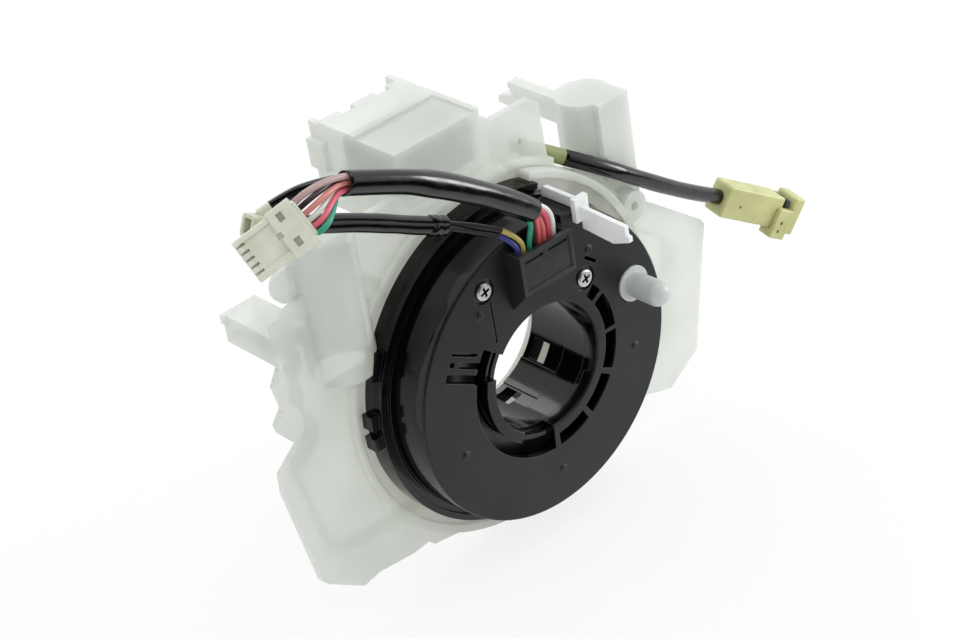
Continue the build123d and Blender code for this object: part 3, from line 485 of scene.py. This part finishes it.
def boxSolid(name, low, high):
    # A box between two corners given as x, depth and z
    def build(mesh):
        bmesh.ops.create_cube(mesh, size=1.0)
        for vertex in mesh.verts:
            part = vertex.co + Vector((0.5, 0.5, 0.5))
            vertex.co = at(*[a + (b - a) * t for a, b, t in zip(low, high, part)])

    return builtMesh(name, build)


def sectorSolid(name, radii, angles, depths, steps=16):
    # A piece of a ring round the steering axis
    def build(mesh):
        sections = []
        for k in range(steps + 1):
            angle = math.radians(angles[0] + (angles[1] - angles[0]) * k / steps)
            corners = [(radii[0], depths[0]), (radii[1], depths[0]), (radii[1], depths[1]), (radii[0], depths[1])]
            sections.append([mesh.verts.new(at(r * math.cos(angle), d, r * math.sin(angle))) for r, d in corners])
        for before, after in zip(sections, sections[1:]):
            for j in range(4):
                n = (j + 1) % 4
                mesh.faces.new((before[j], before[n], after[n], after[j]))
        mesh.faces.new(sections[0])
        mesh.faces.new(sections[-1])

    return builtMesh(name, build)


def cutMesh(data, cutters):
    # The mesh with the cutters taken away from it, which are used up
    source = bpy.data.objects.new("carved", data)
    bpy.context.scene.collection.objects.link(source)
    tools = []
    for k, cutter in enumerate(cutters):
        tool = bpy.data.objects.new("cutter", cutter)
        bpy.context.scene.collection.objects.link(tool)
        tools.append(tool)
        modifier = source.modifiers.new(f"cut{k}", "BOOLEAN")
        modifier.operation, modifier.solver, modifier.object = "DIFFERENCE", "EXACT", tool
    bpy.context.view_layer.update()
    mesh = bpy.data.meshes.new_from_object(source.evaluated_get(bpy.context.evaluated_depsgraph_get()))
    for spare in tools + [source]:
        bpy.data.objects.remove(spare)
    return mesh


def carve(name, node, cutters):
    # A copy of the model's piece with openings cut into it
    data = nodes[node].data.copy()
    data.transform(nodes[node].matrix_world)
    mesh = cutMesh(data, cutters)
    mesh.name = name
    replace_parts(addPiece(name, mesh, node), node)


# The strip's guide stands lower on its left side, so that the strip's rear end shows. The rotor's rim stays whole:
# its radii, angles and depths are kept out of the cut
guideCut = {
    "low": (11.3, -6.0, 46.8), "high": (17.6, 20.0, 53.0),
    "rimRadii": (1.0, 49.1), "rimAngles": (50, 100), "rimDepths": (-8.0, 22.0), "rimSteps": 80,
}
# Two windows of the rear sleeve go on through the case's collar
collarCut = {"radii": (22.02, 26.2), "angles": [(-45, -27), (-93, -77)], "depths": (20.5, 27.2)}
# Dark wall behind the comb
combBack = {"radii": (20.7, 22.2), "angles": (140, 162), "depths": (1.6, 5.2)}


def carveGuide():
    rim = sectorSolid("rim", guideCut["rimRadii"], guideCut["rimAngles"], guideCut["rimDepths"], guideCut["rimSteps"])
    carve("slottedCover", "rotor_cover", [cutMesh(boxSolid("guideCutter", guideCut["low"], guideCut["high"]), [rim])])


def carveCollar():
    carve("windowedCase", "stator_case", [sectorSolid("window", collarCut["radii"], angles, collarCut["depths"])
                                          for angles in collarCut["angles"]])


carveGuide()
carveCollar()
addPiece("combBack", sectorSolid("combBack", combBack["radii"], combBack["angles"], combBack["depths"]),
         "rotor_cover", finishes["rotor_cover"])
print("openings cut")


# Leads: the same route points as the tubes of the model
signalLead = {
    "points": [(0.3, -2.6, 55.2), (-7.2, -3.4, 62.0), (-18.3, -4.2, 70.4), (-31.3, -4.6, 79.6),
               (-45.6, -4.4, 87.6), (-61.4, -3.2, 94.0)],
    "diameter": 7.4, "length": 73.5, "wall": 0.6, "dents": 0.2, "dentLength": 12.0, "seed": 3,
}
hornLead = {
    "points": [(-25.9, 3.9, 61.0), (-35.0, 4.4, 65.4), (-46.2, 5.0, 71.6), (-61.0, 5.8, 78.9), (-76.0, 6.9, 84.9)],
    "diameter": 5.2, "length": 55.6, "wall": 0.5, "dents": 0.14, "dentLength": 9.0, "seed": 5,
}
airbagLead = {
    "points": [(36.3, 22.0, 48.13), (47.5, 16.1, 40.9), (59.3, 16.2, 31.8), (70.4, 17.0, 23.5),
               (83.5, 18.6, 14.1), (97.1, 19.8, 5.4)],
    "diameter": 5.2, "length": 75.5, "wall": 0.5, "dents": 0.07, "dentLength": 14.0, "seed": 8,
}
linkLead = {
    "points": [(-62.1, -0.3, 94.3), (-67.4, 2.2, 94.7), (-73.4, 4.8, 94.1), (-78.8, 6.5, 92.4)],
    "diameter": 3.0, "wall": 0.4, "dents": 0.05, "dentLength": 6.0, "seed": 9,
}
rootLead = {
    "points": [(22.0, 28.6, 57.4), (30.0, 25.3, 52.3), (36.1, 22.1, 48.26)],
    "diameter": 5.0, "wall": 0.5, "dents": 0.03, "dentLength": 8.0, "seed": 12,
}
# Soft vinyl sleeve, extruded: black, with long soft highlights, faint draw lines, and pale grey marks painted as dust
# and as sheen
blackVinyl = {
    "colour": "#060708", "dustAndSheen": "#2e3031", "dustAndSheenSize": 2.4, "dustAndSheenSpan": (0.6, 0.78), "dustAndSheenShare": 0.12,
    "roughness": (0.15, 0.27), "glossSize": 5.0, "glossSpan": (0.3, 0.7), "waveSize": 4.5, "waveHeight": 0.09,
    "drawLine": 0.6, "drawStretch": 0.04, "drawHeight": 0.012, "refraction": 1.53,
}


def sleeveVinyl(name, look):
    material, tree = newMaterial(name)
    coordinates = addNode(tree, "ShaderNodeTexCoord")
    place, along = coordinates.outputs["Object"], coordinates.outputs["UV"]
    # pale grey marks: dust, and a painted sheen
    dustAndSheenNoise = addNode(tree, "ShaderNodeTexNoise", {"Scale": perMetre(look["dustAndSheenSize"]), "Detail": 6.0,
                                                 "Roughness": 0.7}, {"Vector": place})
    low, high = look["dustAndSheenSpan"]
    dustAndSheenMask = addNode(tree, "ShaderNodeMapRange", {1: low, 2: high, 3: 0.0, 4: look["dustAndSheenShare"]},
                    {0: dustAndSheenNoise.outputs[0]})
    colour = addNode(tree, "ShaderNodeMix", {6: linear(look["colour"]), 7: linear(look["dustAndSheen"])},
                     {0: dustAndSheenMask.outputs[0]}, data_type="RGBA")
    blotch = addNode(tree, "ShaderNodeTexNoise", {"Scale": perMetre(look["glossSize"]), "Detail": 4.0},
                     {"Vector": place})
    (low, high), (smooth, dull) = look["glossSpan"], look["roughness"]
    rough = addNode(tree, "ShaderNodeMapRange", {1: low, 2: high, 3: smooth, 4: dull}, {0: blotch.outputs[0]})
    dents = addNode(tree, "ShaderNodeTexNoise", {"Scale": perMetre(look["waveSize"]), "Detail": 2.0},
                    {"Vector": place})
    pressed = addNode(tree, "ShaderNodeBump", {"Distance": look["waveHeight"] * mm}, {"Height": dents.outputs[0]})
    stretched = addNode(tree, "ShaderNodeMapping", {"Scale": (1.0, look["drawStretch"], 1.0)}, {"Vector": along})
    lines = addNode(tree, "ShaderNodeTexNoise", {"Scale": perMetre(look["drawLine"]), "Detail": 2.0},
                    {"Vector": stretched.outputs[0]})
    drawn = addNode(tree, "ShaderNodeBump", {"Distance": look["drawHeight"] * mm},
                    {"Height": lines.outputs[0], "Normal": pressed.outputs[0]})
    surface = addNode(tree, "ShaderNodeBsdfPrincipled", {"IOR": look["refraction"]},
                      {"Base Color": colour.outputs[2], "Roughness": rough.outputs[0], "Normal": drawn.outputs[0]})
    addNode(tree, "ShaderNodeOutputMaterial", links={"Surface": surface.outputs[0]})
    return material


def smoothCurve(name, points, resolution=24):
    data = bpy.data.curves.new(name, "CURVE")
    data.dimensions = "3D"
    data.resolution_u = resolution
    spline = data.splines.new("NURBS")
    spline.points.add(len(points) - 1)
    for control, point in zip(spline.points, points):
        control.co = tuple(point) + (1.0,)
    spline.order_u = 3
    spline.use_endpoint_u = True
    piece = bpy.data.objects.new(name, data)
    bpy.context.scene.collection.objects.link(piece)
    return piece


def linePoints(points):
    # Points along the smooth line of a route
    probe = smoothCurve("probe", points)
    bpy.context.view_layer.update()
    mesh = bpy.data.meshes.new_from_object(probe.evaluated_get(bpy.context.evaluated_depsgraph_get()))
    line = [vertex.co.copy() for vertex in mesh.vertices]
    bpy.data.objects.remove(probe)
    bpy.data.meshes.remove(mesh)
    return line


def softNoise(seed, count, step):
    # Smooth random values between -1 and 1, one for each place along a lead
    rng = random.Random(seed)
    knots = [rng.uniform(-1, 1) for _ in range(int(count / step) + 3)]
    values = []
    for k in range(count):
        whole, part = divmod(k / step, 1)
        ease = part * part * (3 - 2 * part)
        values.append(knots[int(whole)] * (1 - ease) + knots[int(whole) + 1] * ease)
    return values


# How each sleeve's tube is built: points around it, how deep its mouths are open, the lip's share of the wall, and
# how far a full dent flattens and swells it
tube = {"around": 40, "mouthDepth": 5.0, "mouthShare": 0.3, "lip": 0.3, "flatten": 0.5, "swell": 0.18}


def sleeveMesh(name, line, lead, radiusAt=None):
    # A hollow tube along the line: outer wall, rounded lips, and an inner wall that ends in the dark
    around = tube["around"]
    mesh = bmesh.new()
    uvs = mesh.loops.layers.uv.new("along")
    lengths = [0.0]
    for before, after in zip(line, line[1:]):
        lengths.append(lengths[-1] + (after - before).length)
    total = lengths[-1]
    outer, inner = lead["diameter"] / 2 * mm, (lead["diameter"] / 2 - lead["wall"]) * mm
    step = lead["dentLength"] / (total / mm) * len(line)
    flatten, swell = softNoise(lead["seed"], len(line), step), softNoise(lead["seed"] + 50, len(line), step)
    tangents = [(line[min(k + 1, len(line) - 1)] - line[max(k - 1, 0)]).normalized() for k in range(len(line))]
    side = tangents[0].orthogonal().normalized()
    frames = []
    for tangent in tangents:
        side = (side - side.dot(tangent) * tangent).normalized()
        frames.append((side, tangent.cross(side)))

    def ringAt(k, radius, shift=0.0):
        u, v = frames[k]
        squeeze = 1 + lead["dents"] * tube["flatten"] * flatten[k]
        ring = []
        for j in range(around):
            angle = 2 * math.pi * j / around
            r = radius * (1 + tube["swell"] * lead["dents"] * swell[k])
            if radiusAt:
                r += radiusAt(lengths[k], angle)
            spoke = u * (math.cos(angle) * squeeze) + v * (math.sin(angle) / squeeze)
            ring.append(mesh.verts.new(line[k] + tangents[k] * shift + spoke * r))
        return ring

    last = len(line) - 1
    lip = lead["wall"] * tube["lip"] * mm
    mouthDepth = min(tube["mouthDepth"] * mm, total * tube["mouthShare"])
    deep = next(k for k, length in enumerate(lengths) if length > mouthDepth)
    rings = [(ringAt(deep, inner), lengths[deep]), (ringAt(0, inner), 0.0), (ringAt(0, inner + lip, -lip), 0.0),
             (ringAt(0, outer - lip, -lip), 0.0)]
    rings += [(ringAt(k, outer), lengths[k]) for k in range(len(line))]
    rings += [(ringAt(last, outer - lip, lip), total), (ringAt(last, inner + lip, lip), total),
              (ringAt(last, inner), total), (ringAt(last - deep, inner), lengths[last - deep])]
    turn = outer * 2 * math.pi / around
    for (ringA, lengthA), (ringB, lengthB) in zip(rings, rings[1:]):
        for j in range(around):
            n = (j + 1) % around
            face = mesh.faces.new((ringA[j], ringA[n], ringB[n], ringB[j]))
            face.smooth = True
            for loop, uv in zip(face.loops, ((j, lengthA), (j + 1, lengthA), (j + 1, lengthB), (j, lengthB))):
                loop[uvs].uv = (uv[0] * turn, uv[1])
    for ring in (rings[0][0], rings[-1][0]):
        mesh.faces.new(ring)
    return finishedMesh(name, mesh)


# Cotton tape wound round the horn sleeve's mouth, with a frayed edge: how much of its thickness the lowest layer
# has, how much the layers add, and how much the weave does
tape = {
    "end": 5.6, "pitch": 2.6, "thickness": 0.4, "fray": 0.5, "base": 0.6, "layers": 0.5, "weave": 0.1,
    "weaveTurns": 11, "weaveLengths": 5,
}


def tapeRise(length, angle):
    edge = tape["end"] + tape["fray"] * (math.sin(3 * angle + 1) + 0.6 * math.sin(7 * angle))
    if length / mm > edge:
        return 0.0
    layer = (length / mm / tape["pitch"] + angle / (2 * math.pi)) % 1
    weave = math.sin(tape["weaveTurns"] * angle + length / mm * tape["weaveLengths"])
    return tape["thickness"] * (tape["base"] + tape["layers"] * layer + tape["weave"] * weave) * mm


sleeveBlack = sleeveVinyl("softBlackVinyl", blackVinyl)
sleeves = {}
for name, node, lead, material in (
        ("signalSleeve", "signal_sleeve", signalLead, sleeveBlack),
        ("hornSleeve", "horn_sleeve", hornLead, sleeveBlack),
        ("linkSleeve", "link_sleeve", linkLead, sleeveBlack),
        ("airbagSleeve", "airbag_lead", airbagLead, sleeveBlack),
        ("rootSheath", "airbag_lead_root", rootLead, plainSurface("paleVinyl", paleVinyl))):
    lead["line"] = linePoints([at(*point) for point in lead["points"]])
    rise = tapeRise if name == "hornSleeve" else None
    sleeves[name] = addPiece(name, sleeveMesh(name, lead["line"], lead, rise), node, material)
    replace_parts(sleeves[name], node)
print("sleeves made")


# Wires: thin vinyl-covered strands, where they leave the block and where they enter the plug
wires = {
    "diameter": 1.6, "sides": 14, "resolution": 10,
    "blockColours": ["#2b8f74", "#3a211d", "#c8625f", "#d06a6c", "#c9505f", "#dedfdb"],
    "plugColours": ["#ad938f", "#2a1c1c", "#c47a72", "#c3c6bf", "#cc5f6e", "#2c9678"],
    "hornColours": ["#343a80", "#b3a55c"], "coverColour": "#1c1817", "coverThickness": 0.06,
    "mouthSpacing": 0.92, "mouthRow": 0.85, "mouthInside": 4.0, "mouthOutside": 1.2,
}


def wireVinyl(colour):
    # Hard vinyl covering, extruded: satin, slightly uneven in shade
    look = {"colour": colour, "drift": colour, "roughness": (0.28, 0.42), "glossSize": 2.0, "waveSize": 2.0,
            "waveHeight": 0.02, "grain": 0.6, "grainHeight": 0.003, "edge": 0.1, "softness": 0.1, "depth": 0.4}
    return plainSurface("wireVinyl" + colour[1:], look)


def wireTree():
    tree = bpy.data.node_groups.new("wireAlongCurve", "GeometryNodeTree")
    for label, kind in (("Geometry", "NodeSocketGeometry"), ("Radius", "NodeSocketFloat"),
                        ("Sides", "NodeSocketInt"), ("Material", "NodeSocketMaterial")):
        tree.interface.new_socket(label, in_out="INPUT", socket_type=kind)
    tree.interface.new_socket("Geometry", in_out="OUTPUT", socket_type="NodeSocketGeometry")
    given = addNode(tree, "NodeGroupInput").outputs
    profile = addNode(tree, "GeometryNodeCurvePrimitiveCircle", links={"Resolution": given["Sides"],
                                                                       "Radius": given["Radius"]})
    strand = addNode(tree, "GeometryNodeCurveToMesh", {"Fill Caps": True},
                     {"Curve": given["Geometry"], "Profile Curve": profile.outputs[0]})
    smooth = addNode(tree, "GeometryNodeSetShadeSmooth", links={"Geometry": strand.outputs[0]})
    real = addNode(tree, "GeometryNodeRealizeInstances", links={"Geometry": smooth.outputs[0]})
    dressed = addNode(tree, "GeometryNodeSetMaterial", links={"Geometry": real.outputs[0],
                                                              "Material": given["Material"]})
    addNode(tree, "NodeGroupOutput", links={0: dressed.outputs[0]})
    return tree


def evaluatedMesh(source, tree, inputs):
    modifier = source.modifiers.new("nodes", "NODES")
    modifier.node_group = tree
    keys = {item.name: item.identifier for item in tree.interface.items_tree if item.in_out == "INPUT"}
    for label, value in inputs.items():
        modifier[keys[label]] = value
    bpy.context.view_layer.update()
    mesh = bpy.data.meshes.new_from_object(source.evaluated_get(bpy.context.evaluated_depsgraph_get()))
    bpy.data.objects.remove(source)
    return mesh


wireNodes = wireTree()


def makeWire(name, places, colour, node, diameter=None):
    source = smoothCurve("route", places, wires["resolution"])
    material = bpy.data.materials.get("wireVinyl" + colour[1:]) or wireVinyl(colour)
    radius = (diameter or wires["diameter"]) / 2 * mm
    data = evaluatedMesh(source, wireNodes, {"Radius": radius, "Sides": wires["sides"], "Material": material})
    data.name = name
    wire = addPiece(name, data, node)
    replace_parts(wire, node)
    return wire


def bundle(mouth, beyond, count):
    # Places of the wires in a sleeve's mouth, in two rows: inside it, and just outside
    out = (at(*mouth) - at(*beyond)).normalized()
    across = out.cross(Vector((0, 1, 0))).normalized()
    places = []
    for k in range(count):
        row = (wires["mouthRow"] if k % 2 else -wires["mouthRow"]) * mm
        spot = at(*mouth) + across * (k - (count - 1) / 2) * wires["mouthSpacing"] * mm + Vector((0, row, 0))
        places.append((spot - out * wires["mouthInside"] * mm, spot + out * wires["mouthOutside"] * mm))
    return places


# Where the wires stand in the block, and how they rise out of it towards the sleeves
block = {
    "floor": 33.5, "top": 44.9, "firstWire": -2.3, "wirePitch": 1.95, "depth": -2.2, "rise": 1.9, "risePitch": 0.9,
    "shoulder": (0.1, -0.1, -2.0), "lean": (0.5, -0.4),
}
# The two wires of the horn lead: first wire's places and the step to the next one
hornWire = {
    "x": -6.7, "pitch": 2.1, "depth": -2.3, "shoulder": 3.0, "bend": (-10.2, 1.4, 51.0), "bendStep": (0.8, -0.5, 1.5),
    "top": (0.3, -2.5, 2.6), "topStep": 0.8, "coverStart": 0.12, "scatter": 0.7,
}
rng = random.Random(21)


def jitter(size):
    return Vector([rng.uniform(-size, size) * mm for _ in range(3)])


def makeBlockWires():
    made = []
    mouth = sorted(bundle(signalLead["points"][0], signalLead["points"][1], 6), key=lambda pair: pair[1].x)
    for k, (inside, outside) in enumerate(mouth):
        x = block["firstWire"] + block["wirePitch"] * k
        shoulder, lean = block["shoulder"], block["lean"]
        rise = block["top"] + block["rise"] + block["risePitch"] * k
        places = [at(x, block["depth"], block["floor"]),
                  at(x + shoulder[0], block["depth"] + shoulder[1], block["top"] + shoulder[2]),
                  at(x + lean[0], block["depth"] + lean[1], rise), outside, inside]
        made.append(makeWire(f"blockWire{k + 1}", places, wires["blockColours"][k], "signal_wires"))
    return made


def makeHornWires():
    made = []
    mouth = sorted(bundle(hornLead["points"][0], hornLead["points"][1], 2), key=lambda pair: pair[1].z)
    for k, (inside, outside) in enumerate(mouth):
        x = hornWire["x"] + hornWire["pitch"] * k
        bend = at(*[start + step * k for start, step in zip(hornWire["bend"], hornWire["bendStep"])])
        side, depth, height = hornWire["top"]
        top = at(x + side, depth, block["top"] + height + hornWire["topStep"] * k)
        places = [at(x, hornWire["depth"], block["floor"]),
                  at(x, hornWire["depth"], block["top"] - hornWire["shoulder"]), top, bend]
        made.append(makeWire(f"hornWire{k + 1}", places, wires["hornColours"][k], "horn_wires"))
        covered = [bend + (top - bend) * hornWire["coverStart"], bend,
                   (bend + outside) / 2 + jitter(hornWire["scatter"]), outside, inside]
        made.append(makeWire(f"hornWireCover{k + 1}", covered, wires["coverColour"], "horn_wires",
                             wires["diameter"] + 2 * wires["coverThickness"]))
    return made


# The signal plug's place, and how the wires run into its rear
plug = {
    "centre": (-86.9, -5.0, 89.7), "along": (-0.8515, 0.3411, -0.3947), "facing": (-0.5152, -0.6756, 0.5275),
    "length": 18.4, "wirePitch": 1.95, "wireSpread": 1.1, "wireStart": 0.6, "wireRun": 3.6, "wireLift": 0.3,
    "sag": (0, -0.6, 1.0), "scatter": 0.5, "firstWireDiameter": 1.9,
}


def frameAt(centre, along, facing):
    # The same axes that the model gives the piece: X along it, Z out of its front
    z = Vector(facing).normalized()
    x = Vector(along)
    x = (x - x.dot(z) * z).normalized()
    turn = Matrix((x, z.cross(x), z)).transposed().to_4x4()
    return Matrix.Translation(at(*centre)) @ turn


plugFrame = frameAt(plug["centre"], plug["along"], plug["facing"])


def makePlugWires():
    made = []
    points = signalLead["points"]
    mouth = sorted(bundle(points[-1], points[-2], 6), key=lambda pair: -pair[1].z)
    for k, (inside, outside) in enumerate(mouth):
        rear, side = -plug["length"] / 2, (k - (len(mouth) - 1) / 2) * plug["wirePitch"]
        end = plugFrame @ (Vector((rear - plug["wireStart"], side, 0)) * mm)
        before = plugFrame @ (Vector((rear - plug["wireRun"], side * plug["wireSpread"], plug["wireLift"])) * mm)
        middle = outside * 0.5 + before * 0.5 + Vector(plug["sag"]) * mm + jitter(plug["scatter"])
        made.append(makeWire(f"plugWire{k + 1}", [inside, outside, middle, before, end], wires["plugColours"][k],
                             "plug_wires", plug["firstWireDiameter"] if k == 0 else None))
    return made


blockWires, hornWires, plugWires = makeBlockWires(), makeHornWires(), makePlugWires()
print("wires made")


# Airbag plug: body with a small tooling hole and two notches, head, sprung latch, and a black clip between.
# Places are along it, across it and out of its front, and reaches are past the body's end
airbagPlug = {
    "along": (0.8337, -0.130, -0.5369), "facing": (-0.202, -0.975, -0.077),
    "size": (25.4, 11.0, 9.0), "round": 0.9, "play": 0.1,
    "notches": (10.0, 19.0), "notchSize": (1.6, 0.9, 10.0), "toolHole": (7.0, -0.6), "toolHoleSize": (0.5, 2.0),
    "headReach": 6.2, "headSize": (4.8, 13.0, 10.0), "pinHoles": 2.4, "pinHoleReach": 0.4, "pinHoleSize": (0.9, 8.0),
    "neckReach": 2.0, "neckSize": (4.4, 7.5, 6.0), "neckRound": 0.2,
    "latchReach": 1.0, "latchRise": 2.4, "latchFront": 3.4, "latchSize": (6.6, 10.4, 6.0), "latchRound": 0.5,
    "latchHoles": (-2.5, 0.5), "latchHoleReach": -0.6, "latchHoleSize": (0.6, 3.0),
    "clipReach": 1.8, "clipSize": (1.8, 9.8, 8.2), "clipRound": 0.15, "clipInside": (3.0, 7.6, 6.1),
    "clipMouth": (3.0, 5.5, 10.0), "clipMouthPlace": -5.0,
}
airbagFrame = frameAt(airbagLead["points"][-1], airbagPlug["along"], airbagPlug["facing"])


def localBox(centre, size, rounding=0.0):
    # A box in the plug's own frame, with rounded edges
    def build(mesh):
        bmesh.ops.create_cube(mesh, size=1.0)
        for vertex in mesh.verts:
            vertex.co = Vector(vertex.co[k] * size[k] * mm for k in range(3))
        if rounding:
            bmesh.ops.bevel(mesh, geom=list(mesh.edges), offset=rounding * mm, segments=3, profile=0.5,
                            affect="EDGES")
        bmesh.ops.transform(mesh, matrix=airbagFrame @ Matrix.Translation(Vector(centre) * mm), verts=mesh.verts)

    return builtMesh("box", build)


def localHole(centre, radius, depth, alongX=False):
    # A round cutter in the plug's own frame
    def build(mesh):
        bmesh.ops.create_cone(mesh, cap_ends=True, segments=24, radius1=radius * mm, radius2=radius * mm,
                              depth=depth * mm)
        turn = Matrix.Rotation(math.pi / 2, 4, "Y") if alongX else Matrix.Identity(4)
        bmesh.ops.transform(mesh, matrix=airbagFrame @ Matrix.Translation(Vector(centre) * mm) @ turn,
                            verts=mesh.verts)

    return builtMesh("hole", build)


def joined(parts):
    # Several closed meshes in one
    mesh = bmesh.new()
    for part in parts:
        mesh.from_mesh(part)
    data = bpy.data.meshes.new("joined")
    mesh.to_mesh(data)
    mesh.free()
    return data


def makeAirbagPlug(look):
    length, height, width = look["size"]
    headX, clipX = length + look["headReach"], length + look["clipReach"]
    play = Vector((look["play"],) * 3)
    toolX, toolY = look["toolHole"]
    notches = [localBox((x, -height / 2, 0), look["notchSize"]) for x in look["notches"]]
    body = cutMesh(localBox((length / 2, 0, 0), look["size"], look["round"]),
                   notches + [localHole((toolX, toolY, width / 2), *look["toolHoleSize"])])
    head = cutMesh(localBox((headX, 0, 0), look["headSize"], look["round"]),
                   [localHole((headX + look["pinHoleReach"], side * look["pinHoles"], 0), *look["pinHoleSize"], True)
                    for side in (-1, 1)])
    neck = localBox((length + look["neckReach"], 0, 0), look["neckSize"], look["neckRound"])
    latchX, latchY, latchZ = length + look["latchReach"], -height / 2 + look["latchRise"], look["latchFront"]
    room = [localBox((length / 2, 0, 0), Vector(look["size"]) + play),
            localBox((clipX, 0, 0), Vector(look["clipSize"]) + play),
            localBox((headX, 0, 0), Vector(look["headSize"]) + play)]
    latchTop = latchZ + look["latchSize"][2] / 2
    holes = [localHole((latchX + look["latchHoleReach"], latchY + y, latchTop), *look["latchHoleSize"])
             for y in look["latchHoles"]]
    latch = cutMesh(localBox((latchX, latchY, latchZ), look["latchSize"], look["latchRound"]), room + holes)
    clip = cutMesh(localBox((clipX, 0, 0), look["clipSize"], look["clipRound"]),
                   [localBox((clipX, 0, 0), look["clipInside"]),
                    localBox((clipX, look["clipMouthPlace"], 0), look["clipMouth"])])
    made = []
    for name, node, mesh in (("airbagBody", "airbag_plug", joined([body, head, neck])),
                             ("airbagLatch", "airbag_plug_latch", latch),
                             ("airbagClip", "airbag_plug_clip", clip)):
        mesh.name = name
        made.append(addPiece(name, mesh, node, finishes[node]))
        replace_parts(made[-1], node)
    return made


airbagPieces = makeAirbagPlug(airbagPlug)
print("airbag plug made")
